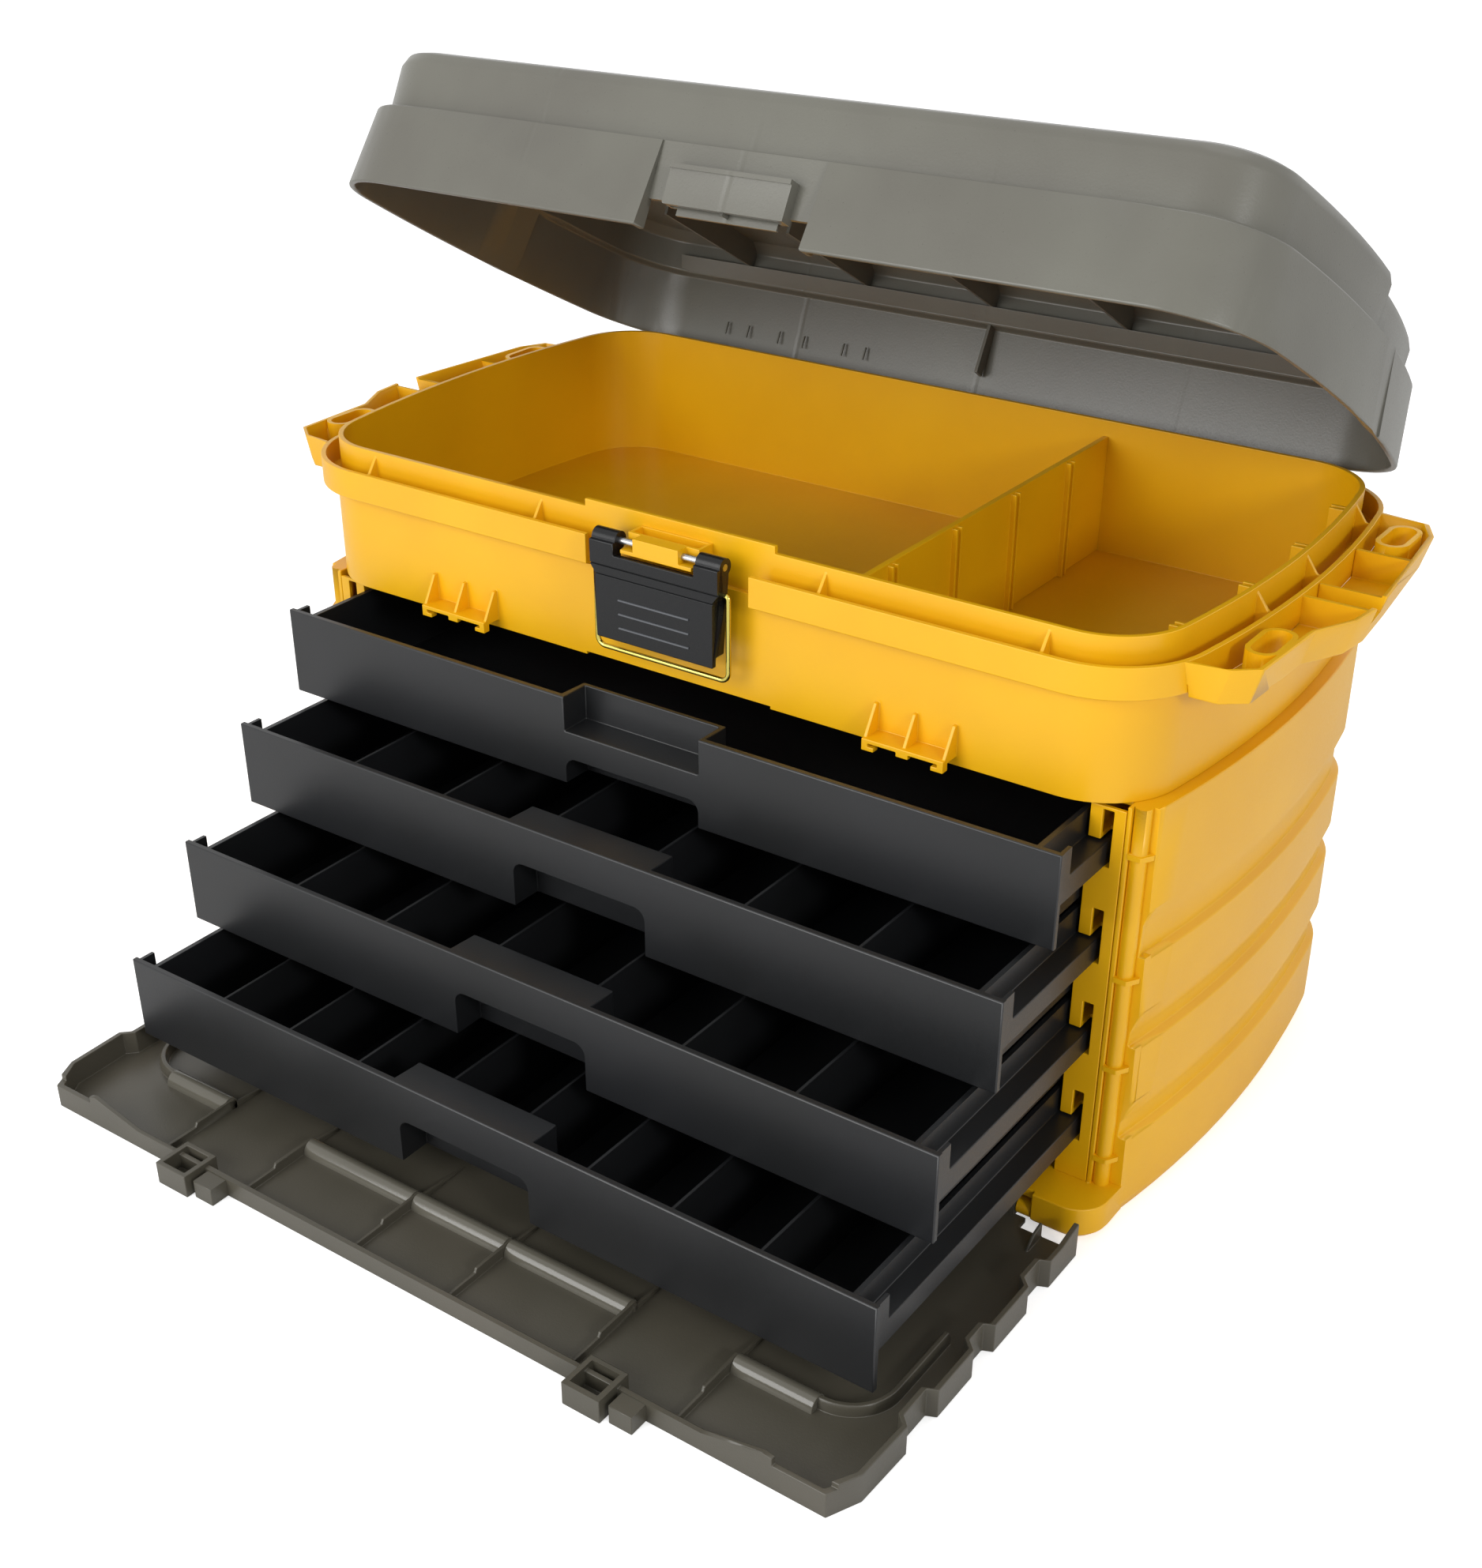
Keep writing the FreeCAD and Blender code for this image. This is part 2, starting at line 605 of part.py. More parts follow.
def band_ends():
    """Square front ends of the bands, flush with the front of the cabinet."""
    smooth = block_through(cabinet_plan, [(0.0, CABINET_BASE_INSET), (SHELL_TOP, CABINET_TOP_INSET)])
    lows = [BASE_TOP] + list(SHINGLE_OUTS)
    tops = list(SHINGLE_TOPS) + [SHELL_TOP]
    inner = GUIDE_FACE_HALF_X + RAIL_OUT
    ends = []
    for low, top in zip(lows, tops):
        end = box(inner, 2 * HALF_WIDTH, CABINET_FRONT_Y, CABINET_FRONT_Y + FLANGE_D, low - CUT, top)
        ends += both_sides(end.common(smooth))
    return ends


def base_middle_y():
    """Front of the base between its corner blocks, behind the door hinge."""
    return DOOR_HINGE_Y + BARREL_R + SLIDE_GAP


def base_middle_x():
    """Half-width of the cut in the base that holds the door hinges."""
    return DOOR_KNUCKLE_X + DOOR_KNUCKLE_W / 2 + DOOR_LUG_W + SLIDE_GAP


def base_front():
    """Front of the base: rounded corners, and a lip over the door hinge."""
    half = side_x(CABINET_FRONT_Y, CABINET_BASE_INSET)
    block = box(-half, half, BASE_FRONT_Y, CABINET_FRONT_Y + WALL, 0, BASE_TOP)
    upright = [e for e in block.Edges
               if e.BoundBox.ZLength > BASE_TOP / 2 and e.BoundBox.YMin < BASE_FRONT_Y + CUT]
    block = block.makeFillet(BASE_CORNER_R, upright)
    low = [e for e in block.Edges if e.BoundBox.ZMax < BITE and e.BoundBox.YMin < CABINET_FRONT_Y - CUT]
    block = block.makeChamfer(BASE_EDGE, low)
    middle = base_middle_x()
    block = block.cut(box(-middle, middle, BASE_FRONT_Y - CUT, base_middle_y(), -CUT, BASE_TOP + CUT))
    lip = box(-middle - CUT, middle + CUT, BASE_LIP_Y, base_middle_y() + CUT, BASE_TOP - BASE_LIP_T, BASE_TOP)
    return fuse([block, lip])


def base_recess():
    """Space under the floor of the case, open to the ground between its ribs."""
    inset = BASE_RIM_W
    room = block_through(cabinet_plan, [(-CUT, inset), (BASE_TOP - WALL, inset)])
    front = CABINET_FRONT_Y + BASE_RIM_W - BASE_EDGE
    room = room.cut(box(-HALF_WIDTH, HALF_WIDTH, -HALF_DEPTH, front, -2 * CUT, BASE_TOP))
    ribs = [box(x - WALL / 2, x + WALL / 2, -HALF_DEPTH, HALF_DEPTH, -2 * CUT, BASE_TOP) for x in BASE_RIB_XS]
    return room.cut(fuse(ribs))


def tick_tops():
    """Top of each small ledge across the half-round column."""
    return [SHELL_TOP - TOP_TICK_DROP] + [top - TICK_DROP - TICK_H for top in SHINGLE_TOPS]


def front_jamb():
    """Right-hand upright beside the drawers: bead, trough and half-round column with ledges."""
    x0 = GUIDE_FACE_HALF_X + SEAT_GAP
    low = BASE_TOP - CUT
    back = CABINET_FRONT_Y + WALL
    plate = box(x0, x0 + RAIL_OUT, CABINET_FRONT_Y, back, low, SHELL_TOP)
    bead = box(x0, x0 + BEAD_W, FACE_Y, back, low, SHELL_TOP)
    y = CABINET_FRONT_Y - COLUMN_PROUD
    column = Part.makeCylinder(COLUMN_R, SHELL_TOP - low, Vector(COLUMN_X, y, low))
    column = column.common(box(x0, HALF_WIDTH, -HALF_DEPTH, back, low, SHELL_TOP))
    ticks = []
    for top in tick_tops():
        outline = ((-TICK_R, back), (-TICK_R, CABINET_FRONT_Y - CUT), (-TICK_R / 2, CABINET_FRONT_Y - TICK_R),
                   (TICK_R / 2, CABINET_FRONT_Y - TICK_R), (TICK_R, CABINET_FRONT_Y - CUT), (TICK_R, back))
        tick = prism([(COLUMN_X + dx, dy, top - TICK_H) for dx, dy in outline], (0, 0, TICK_H))
        ticks.append(tick.common(box(x0, HALF_WIDTH, -HALF_DEPTH, back, low, SHELL_TOP)))
    return fuse([plate, bead, column] + ticks)


def case_flange():
    """Flat ring on top of the cabinet that the tub stands on."""
    z0 = SHELL_TOP - WALL
    ring = block_through(cabinet_plan, [(z0, wall_inset(z0)), (SHELL_TOP, CABINET_TOP_INSET)])
    return ring.cut(box(-GUIDE_HALF_X, GUIDE_HALF_X, -HALF_DEPTH, GUIDE_BACK_Y, z0 - CUT, SHELL_TOP + CUT))


def lug_xs():
    """Left end of each hinge lug on the right half of the base."""
    half = (DOOR_KNUCKLE_W + SLIDE_GAP) / 2
    return [DOOR_KNUCKLE_X - half - DOOR_LUG_W, DOOR_KNUCKLE_X + half]


def door_lug(x):
    """Hinge lug on the front of the base, with a rounded nose."""
    r = BARREL_R
    nose = rod_x(x, x + DOOR_LUG_W, DOOR_HINGE_Y, DOOR_HINGE_Z, r)
    arm = box(x, x + DOOR_LUG_W, DOOR_HINGE_Y, base_middle_y() + CUT, DOOR_HINGE_Z - r, DOOR_HINGE_Z + r)
    return fuse([nose, arm])


def door_pin(side):
    """Steel pin of one door hinge."""
    reach = DOOR_KNUCKLE_W / 2 + SLIDE_GAP / 2 + DOOR_LUG_W
    x = side * DOOR_KNUCKLE_X
    return rod_x(x - reach, x + reach, DOOR_HINGE_Y, DOOR_HINGE_Z, DOOR_PIN_R)


def drawer_place(index):
    """Top and front of a drawer in its resting place."""
    top = DRAWER_TOP_Z - index * DRAWER_PITCH
    return top, FACE_Y - SLIDE_GAP / 2 - PANEL_T - DRAWER_OUT[index]


def groove_span(index):
    """Lowest and highest point of the groove for one drawer."""
    rail_top = drawer_place(index)[0] - RAIL_DROP
    return rail_top - RAIL_H - RAIL_SEAT, rail_top + SLIDE_GAP


def drawer_guide():
    """Right pleated side panel whose grooves carry the drawer rails."""
    z0 = BASE_TOP
    z1 = SHELL_TOP - WALL
    skin = GROOVE_HALF_X + GUIDE_T
    body = box(GUIDE_HALF_X, skin, FACE_Y, GUIDE_BACK_Y, z0, z1)
    body = body.fuse(box(GUIDE_HALF_X, GUIDE_FACE_HALF_X, FACE_Y, FACE_Y + GUIDE_T, z0, z1))
    spans = [groove_span(i) for i in range(len(DRAWER_OUT))]
    for low, high in spans:
        body = body.cut(box(GUIDE_HALF_X - CUT, GROOVE_HALF_X, FACE_Y - CUT, GUIDE_BACK_Y + CUT, low, high))
        body = body.cut(box(RAIL_HALF_W - FLANGE_T - SLIDE_GAP, GROOVE_HALF_X, FACE_Y - CUT,
                            FACE_Y + FLANGE_OUT + SLIDE_GAP, low, high + RAIL_DROP))
    uppers = [z1 + 2 * GUIDE_T] + [low for low, high in spans]
    lowers = [high for low, high in spans] + [z0 - 2 * GUIDE_T]
    for upper, lower in zip(uppers, lowers):
        body = body.cut(box(GUIDE_HALF_X + GUIDE_T, skin + CUT, FACE_Y + GUIDE_T, GUIDE_BACK_Y + CUT,
                            lower + GUIDE_T, upper - GUIDE_T))
    return body.removeSplitter()


def pull_opening(y0, y1, z0, z1):
    """Finger opening with rounded upper corners."""
    block = box(-PULL_HALF, PULL_HALF, y0, y1, z0, z1)
    upper = [e for e in block.Edges if e.BoundBox.XLength < BITE and e.BoundBox.ZMin > z1 - BITE]
    return block.makeFillet(PULL_EDGE_R, upper)


def drawer(index):
    """Drawer moulded in one: front panel, tray, rails and pull."""
    wall = TRAY_WALL
    top, y0 = drawer_place(index)
    low = top - PANEL_H
    inner_y = y0 + PANEL_T
    y1 = inner_y + DRAWER_DEPTH
    pocket_y = y0 + POCKET_DEPTH
    panel = box(-DRAWER_HALF_W, DRAWER_HALF_W, y0, inner_y, low, top)
    tray = box(-TRAY_HALF_W, TRAY_HALF_W, y0 + BITE, y1, low, top - TRAY_DROP)
    tray = tray.cut(box(-TRAY_HALF_W + wall, TRAY_HALF_W - wall, inner_y, y1 - wall, low + wall, top + CUT))
    rail = box(TRAY_HALF_W - BITE, RAIL_HALF_W, y0 + BITE, y1, top - RAIL_DROP - RAIL_H, top - RAIL_DROP)
    rail = rail.cut(box(TRAY_HALF_W, RAIL_HALF_W - wall, inner_y, y1 + CUT, low, top - RAIL_DROP - wall))
    flange = box(RAIL_HALF_W - FLANGE_T, RAIL_HALF_W, y0 + BITE, inner_y + FLANGE_OUT,
                 top - FLANGE_H, top - CUT)
    pocket = box(-PULL_HALF - wall, PULL_HALF + wall, y0 + BITE, pocket_y + wall, low, top)
    body = fuse([panel, tray, pocket] + both_sides(rail) + both_sides(flange))
    body = body.cut(box(-PULL_HALF, PULL_HALF, inner_y, pocket_y, low - CUT, top - wall))
    bar_low = top - BAR_DROP
    if index == 0:
        shelf_top = top - POCKET_DROP
        body = body.cut(box(-PULL_HALF, PULL_HALF, y0 - CUT, pocket_y, shelf_top, top + CUT))
        body = body.fuse(box(-PULL_HALF, PULL_HALF, inner_y, pocket_y, shelf_top - wall, shelf_top))
        bar_low = shelf_top - (PANEL_H - POCKET_DROP) / 2
    body = body.cut(pull_opening(y0 - CUT, inner_y + CUT, low - PULL_EDGE_R, bar_low))
    return body.removeSplitter()


def drawer_dividers(index):
    """Dividers of one drawer, standing on the tray floor."""
    top, y0 = drawer_place(index)
    y1 = y0 + PANEL_T + DRAWER_DEPTH - TRAY_WALL
    count = DRAWER_COMPARTMENTS[index]
    width = 2 * (TRAY_HALF_W - TRAY_WALL)
    plates = []
    for number in range(1, count):
        x = width * (number / count - 1 / 2)
        at_pull = abs(x) < PULL_HALF + TRAY_WALL + DIVIDER_T
        near = y0 + (POCKET_DEPTH + TRAY_WALL if at_pull else PANEL_T)
        plates.append(box(x - DIVIDER_T / 2, x + DIVIDER_T / 2, near + SEAT_GAP, y1 - SEAT_GAP,
                          top - PANEL_H + TRAY_WALL, top - DIVIDER_DROP))
    return Part.makeCompound(plates)


def latch_flap():
    """Black pull-down flap that hangs on the latch pin."""
    y0 = LATCH_PIN_Y - FLAP_OUT
    low = LATCH_PIN_Z - FLAP_H
    top = LATCH_PIN_Z - BARREL_R - EAR_GAP / 2
    ear_in = BRACKET_HALF + EAR_GAP
    plate = box(-FLAP_HALF, FLAP_HALF, y0, y0 + FLAP_T, low, top)
    side = box(FLAP_HALF - WALL, FLAP_HALF, y0, LATCH_PIN_Y + FLAP_SIDE_D, low + BARREL_R,
               LATCH_PIN_Z)
    ear = fuse([rod_x(ear_in, FLAP_HALF, LATCH_PIN_Y, LATCH_PIN_Z, BARREL_R),
                box(ear_in, FLAP_HALF, y0, LATCH_PIN_Y, top - BARREL_R, LATCH_PIN_Z)])
    bars = [box(-FLAP_BAR_HALF, FLAP_BAR_HALF, y0 - FLAP_BAR_OUT, y0 + CUT,
                low + z, low + z + FLAP_BAR_T) for z in FLAP_BARS]
    foot_half = FLAP_HALF - FLAP_FOOT_INSET
    foot = box(-foot_half, foot_half, y0 - CUT, y0 + CUT, low - CUT, low + 2 * CUT)
    body = fuse([plate, foot] + both_sides(side) + both_sides(ear) + bars)
    for z in FLAP_GROOVES:
        body = body.cut(box(-FLAP_HALF - CUT, FLAP_HALF + CUT, y0 - CUT, y0 + FLAP_BAR_OUT,
                            low + z, low + z + FLAP_BAR_OUT))
    body = body.cut(rod_x(-HALF_WIDTH, HALF_WIDTH, LATCH_PIN_Y, LATCH_PIN_Z, LATCH_PIN_R + RUN_GAP))
    return body.cut(rod_x(-HALF_WIDTH, HALF_WIDTH, LATCH_PIN_Y, BAIL_PIVOT_Z, BAIL_WIRE_R + RUN_GAP))


def bend(x, z, r, sx, sz):
    """Quarter bend about a centre, from its end level with the centre to its end above or below."""
    d = r * math.sqrt(1 / 2)
    y = LATCH_PIN_Y
    return Part.Arc(Vector(x + sx * r, y, z), Vector(x + sx * d, y, z + sz * d),
                    Vector(x, y, z + sz * r)).toShape()


def latch_bail():
    """Wire loop whose ends turn in the sides of the flap, swept along its bends."""
    y = LATCH_PIN_Y
    half = FLAP_HALF + BAIL_SPREAD
    low = BAIL_PIVOT_Z - BAIL_REACH
    top = BAIL_PIVOT_Z
    corner_x = half - BAIL_CORNER_R
    corner_z = low + BAIL_CORNER_R
    bend_x = half - BAIL_BEND_R
    bend_z = top - BAIL_BEND_R
    end_x = half - BAIL_TAIL
    edges = [straight(Vector(-corner_x, y, low), Vector(corner_x, y, low))]
    for s in (-1, 1):
        edges += [straight(Vector(s * end_x, y, top), Vector(s * bend_x, y, top)),
                  bend(s * bend_x, bend_z, BAIL_BEND_R, s, 1),
                  straight(Vector(s * half, y, bend_z), Vector(s * half, y, corner_z)),
                  bend(s * corner_x, corner_z, BAIL_CORNER_R, s, -1)]
    turns = [2 * math.pi * i / BAIL_SIDES for i in range(BAIL_SIDES)]
    section = polygon([(-end_x, y + BAIL_WIRE_R * math.cos(a), top + BAIL_WIRE_R * math.sin(a))
                       for a in turns])
    return joined(edges).makePipeShell([section], True, True)


def lid_levels(top):
    """Heights and insets of the lid's outside."""
    edge = top - LID_TOP_ROUND
    block = LID_BLOCK_INSET
    return [(LID_LOW, 0.0), (LID_SHOULDER, LID_SKIRT_LEAN), (LID_SHOULDER + CUT, block), (edge, block),
            (edge + LID_TOP_ROUND * math.sqrt(1 / 2), block + LID_TOP_ROUND * (1 - math.sqrt(1 / 2))),
            (top, block + LID_TOP_ROUND)]


def lid_room_levels(top):
    """Heights and insets of the room inside the lid."""
    wall = LID_WALL
    block = LID_BLOCK_INSET + wall
    return [(SKIRT_TOP - wall, wall), (LID_SHOULDER - wall, LID_SKIRT_LEAN + wall),
            (LID_SHOULDER - wall + CUT, block), (top - LID_TOP_ROUND, block),
            (top - wall, block + LID_TOP_ROUND)]


def lid_block(levels, step):
    """Form of the lid with its lower rear part, from a function that gives its levels."""
    front = block_through(case_plan, levels(LID_TOP))
    rear = block_through(case_plan, levels(LID_REAR_TOP))
    reach = 2 * HALF_WIDTH
    front = front.common(box(-reach, reach, -reach, step, 0, reach))
    rear = rear.common(box(-reach, reach, step - CUT, reach, 0, reach))
    return front.fuse(rear).removeSplitter()


def lid_shell():
    """Lid moulding as it lies closed."""
    wall = LID_WALL
    half = LID_RECESS_HALF
    recess_y = -HALF_DEPTH + LID_RECESS_DEPTH
    recess_top = LID_SHOULDER + CUT
    ahead = -HALF_DEPTH - CUT
    outer = lid_block(lid_levels, LID_STEP_Y)
    outer = outer.cut(box(-half, half, ahead, recess_y, 0, recess_top))
    outer = outer.fuse(box(-half - wall, half + wall, recess_y, recess_y + wall, LID_LOW, LID_SHOULDER))
    room = lid_block(lid_room_levels, LID_STEP_Y - wall)
    room = room.cut(box(-half - wall, half + wall, ahead, recess_y + wall, 0, recess_top + wall))
    room = room.cut(handle_pocket(wall))
    body = outer.cut(room).cut(handle_pocket(0.0))
    body = body.cut(box(-half, half, ahead, recess_y + wall + CUT, 0, LID_CENTRE_LOW))
    body = body.cut(box(-HALF_WIDTH, HALF_WIDTH, LID_STEP_Y + CUT, LID_STEP_Y + CUT + LID_GROOVE_W,
                        LID_REAR_TOP - LID_GROOVE_D, LID_TOP))
    knuckles = [lid_knuckle(x) for x in (-LID_KNUCKLE_X, LID_KNUCKLE_X)]
    body = fuse([body, lid_strike(recess_y)] + lid_fins() + knuckles)
    for x in (-LID_KNUCKLE_X, LID_KNUCKLE_X):
        reach = LID_KNUCKLE_W
        body = body.cut(rod_x(x - reach, x + reach, LID_HINGE_Y, LID_HINGE_Z, LID_PIN_R + RUN_GAP))
    for side in (-1, 1):
        body = body.cut(handle_pin(side))
    return body


def lid_knuckle(x):
    """Hinge knuckle under the back edge of the lid."""
    x0 = x - LID_KNUCKLE_W / 2
    x1 = x + LID_KNUCKLE_W / 2
    r = LID_BARREL_R
    top = LID_LOW + LID_KNUCKLE_H
    barrel = rod_x(x0, x1, LID_HINGE_Y, LID_HINGE_Z, r)
    strap = box(x0, x1, LID_HINGE_Y - r, LID_HINGE_Y + r, LID_HINGE_Z, top)
    root = box(x0, x1, HALF_DEPTH - CUT, LID_HINGE_Y, LID_LOW + CUT, top)
    return fuse([barrel, strap, root])


def lid_strike(wall_y):
    """Hollow box on the front of the lid that the latch wire pulls on, with a hook below."""
    wall = LID_WALL
    half = STRIKE_HALF
    front = -HALF_DEPTH
    outer = box(-half, half, front, wall_y + wall / 2, STRIKE_BOTTOM, STRIKE_TOP)
    room = box(-half + wall, half - wall, front + wall, wall_y, STRIKE_BOTTOM - CUT, STRIKE_TOP - wall)
    lip = box(-half, half, front - STRIKE_LIP, front + CUT, STRIKE_TOP - 2 * CUT, STRIKE_TOP)
    hook = box(-HOOK_HALF, HOOK_HALF, wall_y, wall_y + RIB_T,
               STRIKE_BOTTOM - HOOK_DROP, STRIKE_BOTTOM + HOOK_DROP)
    rib = box(-RIB_T / 2, RIB_T / 2, front + CUT, wall_y + CUT,
              STRIKE_BOTTOM - HOOK_DROP / 2, STRIKE_TOP - CUT)
    return fuse([outer.cut(room), lip, hook, rib])


def lid_fins():
    """Fins behind the front of the lid that guide it onto the rim."""
    wall = -HALF_DEPTH + LID_SKIRT_LEAN
    behind_rim = -HALF_DEPTH + RIM_INSET + WALL + LID_WALL
    tip = behind_rim + LID_FIN_TIP
    low = SKIRT_TOP - LID_WALL
    top = low + LID_FIN_H
    profile = [(wall, RIM_TOP + 2 * CUT), (behind_rim, RIM_TOP + 2 * CUT), (behind_rim, low), (tip, low),
               (behind_rim, top), (wall + LID_WALL, LID_SHOULDER - CUT), (wall, LID_SHOULDER - CUT)]
    return [fin for x in LID_FIN_XS for fin in both_sides(plate_x(x, RIB_T, profile))]


def handle_pocket(wall):
    """Recess in the lid top for the carry handle, grown by a wall."""
    half = HANDLE_HALF + HANDLE_MARGIN + wall
    return box(-half, half, HANDLE_Y - HANDLE_REACH - HANDLE_MARGIN - wall, HANDLE_Y + HANDLE_MARGIN + wall,
               LID_TOP - HANDLE_DEPTH - wall, LID_TOP + CUT)


def handle_axis_z():
    """Height of the handle pins when the lid is closed."""
    return LID_TOP - HANDLE_T / 2 - HANDLE_SINK


def handle_pin(side):
    """Pin between the wall of the recess and the handle."""
    inner = HANDLE_HALF - HANDLE_ARM + CUT
    outer = HANDLE_HALF + HANDLE_MARGIN + LID_WALL - SEAT_GAP
    x0, x1 = (inner, outer) if side > 0 else (-outer, -inner)
    return rod_x(x0, x1, HANDLE_Y, handle_axis_z(), HANDLE_PIN_R)


def carry_handle():
    """Bow handle lying flat in its recess, with a rounded grip."""
    z = handle_axis_z()
    r = HANDLE_T / 2
    y0 = HANDLE_Y - HANDLE_REACH
    bar = box(-HANDLE_HALF, HANDLE_HALF, y0, y0 + HANDLE_BAR, z - r, z + r)
    bar = bar.makeFillet(HANDLE_ROUND, [e for e in bar.Edges if e.BoundBox.XLength > HANDLE_HALF])
    x0 = HANDLE_HALF - HANDLE_ARM
    arm = box(x0, HANDLE_HALF, y0 + HANDLE_BAR / 2, HANDLE_Y, z - r, z + r)
    eye = rod_x(x0, HANDLE_HALF, HANDLE_Y, z, r)
    body = fuse([bar] + both_sides(arm) + both_sides(eye))
    return body.cut(rod_x(-HALF_WIDTH, HALF_WIDTH, HANDLE_Y, z, HANDLE_PIN_R + RUN_GAP))


def lid_hinge_pin(x):
    """Steel pin through one lid knuckle and the two tub knuckles beside it."""
    reach = LID_KNUCKLE_W / 2 + TUB_KNUCKLE_W + SLIDE_GAP / 2
    return rod_x(x - reach, x + reach, LID_HINGE_Y, LID_HINGE_Z, LID_PIN_R)


def door_outline(inset, z):
    """Plan of the open door, whose sides are stepped like the case that they close on."""
    ground = DOOR_HINGE_Y + DOOR_HINGE_Z
    wide = DOOR_HALF_W - inset
    narrow = wide - DOOR_NOTCH
    right = [(wide, DOOR_NEAR_Y - inset)]
    for top, out_again in zip(SHINGLE_TOPS, SHINGLE_OUTS):
        right += [(wide, ground - top + CUT), (narrow, ground - top - CUT),
                  (narrow, ground - out_again + DOOR_NOTCH), (wide, ground - out_again)]
    right += [(wide - CUT, DOOR_FAR_Y + DOOR_LIP_H), (wide - DOOR_HORN_W, DOOR_FAR_Y + inset)]
    left = [(-x, y) for x, y in reversed(right)]
    return polygon([(x, y, z) for x, y in right + left])


def front_door():
    """Fold-down front, as it lies open on the ground."""
    wall = DOOR_WALL
    bump = DOOR_BUMP_XS[0]
    far = DOOR_FAR_Y + 2 * wall
    body = Part.Face(door_outline(0.0, 0.0)).extrude(Vector(0, 0, DOOR_LIP_H))
    body = body.cut(Part.Face(door_outline(wall, wall)).extrude(Vector(0, 0, DOOR_LIP_H)))
    inner = DOOR_HALF_W - wall
    body = body.cut(box(-inner, inner, DOOR_NEAR_Y - 2 * wall, DOOR_NEAR_Y + CUT, wall, DOOR_LIP_H + CUT))
    body = body.cut(box(-bump, bump, DOOR_FAR_Y - CUT, far, DOOR_FAR_LIP, DOOR_LIP_H + CUT))
    body = body.cut(box(-DOOR_HALF_W, DOOR_HALF_W, DOOR_FAR_Y - CUT, far, DOOR_END_LIP, DOOR_LIP_H + CUT))
    middle = base_middle_x() - 2 * SLIDE_GAP
    tail = box(-middle, middle, DOOR_NEAR_Y - CUT, DOOR_TAIL_Y, 0, wall)
    pieces = [tail, door_ridge()] + both_sides(door_bump()) + both_sides(door_horn()) + door_webs()
    pieces += door_latch(-DOOR_LATCH_X) + door_latch(DOOR_LATCH_X) + both_sides(door_knuckle())
    body = fuse([body] + pieces)
    bore = DOOR_PIN_R + RUN_GAP
    return body.cut(rod_x(-HALF_WIDTH, HALF_WIDTH, DOOR_HINGE_Y, DOOR_HINGE_Z, bore))


def door_bump():
    """Raised end of the lip, which locates the closed door."""
    end, peak, foot = DOOR_BUMP_XS
    y = DOOR_FAR_Y
    low = DOOR_FAR_LIP - CUT
    return prism([(end, y, low), (end, y, DOOR_BUMP_H - CUT), (peak, y, DOOR_BUMP_H), (foot, y, low)],
                 (0, DOOR_WALL, 0))


def door_horn():
    """Raised corner of the side lip beside the hinge, with a curved rib inside it."""
    x1 = DOOR_HALF_W
    x0 = x1 - DOOR_WALL
    y = DOOR_NEAR_Y
    reach = DOOR_LIP_H
    horn = prism([(x0, y, 0), (x0, y, DOOR_HORN_H), (x0, y - reach, DOOR_LIP_H), (x0, y - reach, 0)],
                 (DOOR_WALL, 0, 0))
    x = base_middle_x() + DOOR_HORN_W
    rib = prism([(x, y, 1), (x, y, DOOR_FAR_LIP), (x, y - reach / 2, DOOR_RIDGE_H), (x, y - reach, 1)],
                (RIB_T, 0, 0))
    return horn.fuse(rib)


def door_webs():
    """Stepped webs between the bead and the free edge of the door."""
    y0 = DOOR_FAR_Y + CUT
    step_y = (DOOR_FAR_Y + DOOR_BEND_Y) / 2
    high = DOOR_RIDGE_H
    low = high - DOOR_WEB_STEP
    profile = [(y0, CUT), (DOOR_BEND_Y, CUT), (DOOR_BEND_Y, high), (step_y, high), (step_y - CUT, low),
               (y0, low)]
    return [web for x in DOOR_WEB_XS for web in both_sides(plate_x(x, RIB_T, profile))]


def door_knuckle():
    """Right-hand hinge knuckle of the door."""
    x0 = DOOR_KNUCKLE_X - DOOR_KNUCKLE_W / 2
    x1 = DOOR_KNUCKLE_X + DOOR_KNUCKLE_W / 2
    barrel = rod_x(x0, x1, DOOR_HINGE_Y, DOOR_HINGE_Z, BARREL_R)
    return fuse([barrel, box(x0, x1, DOOR_TAIL_Y - CUT, DOOR_HINGE_Y, DOOR_WALL / 2, DOOR_HINGE_Z)])


def door_ridge():
    """Raised bead along the bend of the door, curling back at both ends."""
    z = DOOR_WALL
    half = DOOR_HALF_W - DOOR_RIDGE_IN
    r = DOOR_RIDGE_R
    d = r * (1 - math.sqrt(1 / 2))
    y = DOOR_BEND_Y
    end = y + r + DOOR_RIDGE_TAIL
    w = DOOR_RIDGE_W / 2
    edges = [straight(Vector(-half + r, y, z), Vector(half - r, y, z))]
    for s in (-1, 1):
        edges += [straight(Vector(s * half, end, z), Vector(s * half, y + r, z)),
                  Part.Arc(Vector(s * half, y + r, z), Vector(s * (half - d), y + d, z),
                           Vector(s * (half - r), y, z)).toShape()]
    shoulder = DOOR_RIDGE_H - w
    outline = ((-w, z - CUT), (w, z - CUT), (w, shoulder), (w / 2, DOOR_RIDGE_H), (-w / 2, DOOR_RIDGE_H),
               (-w, shoulder))
    section = polygon([(-half + dx, end, height) for dx, height in outline])
    return joined(edges).makePipeShell([section], True, True)


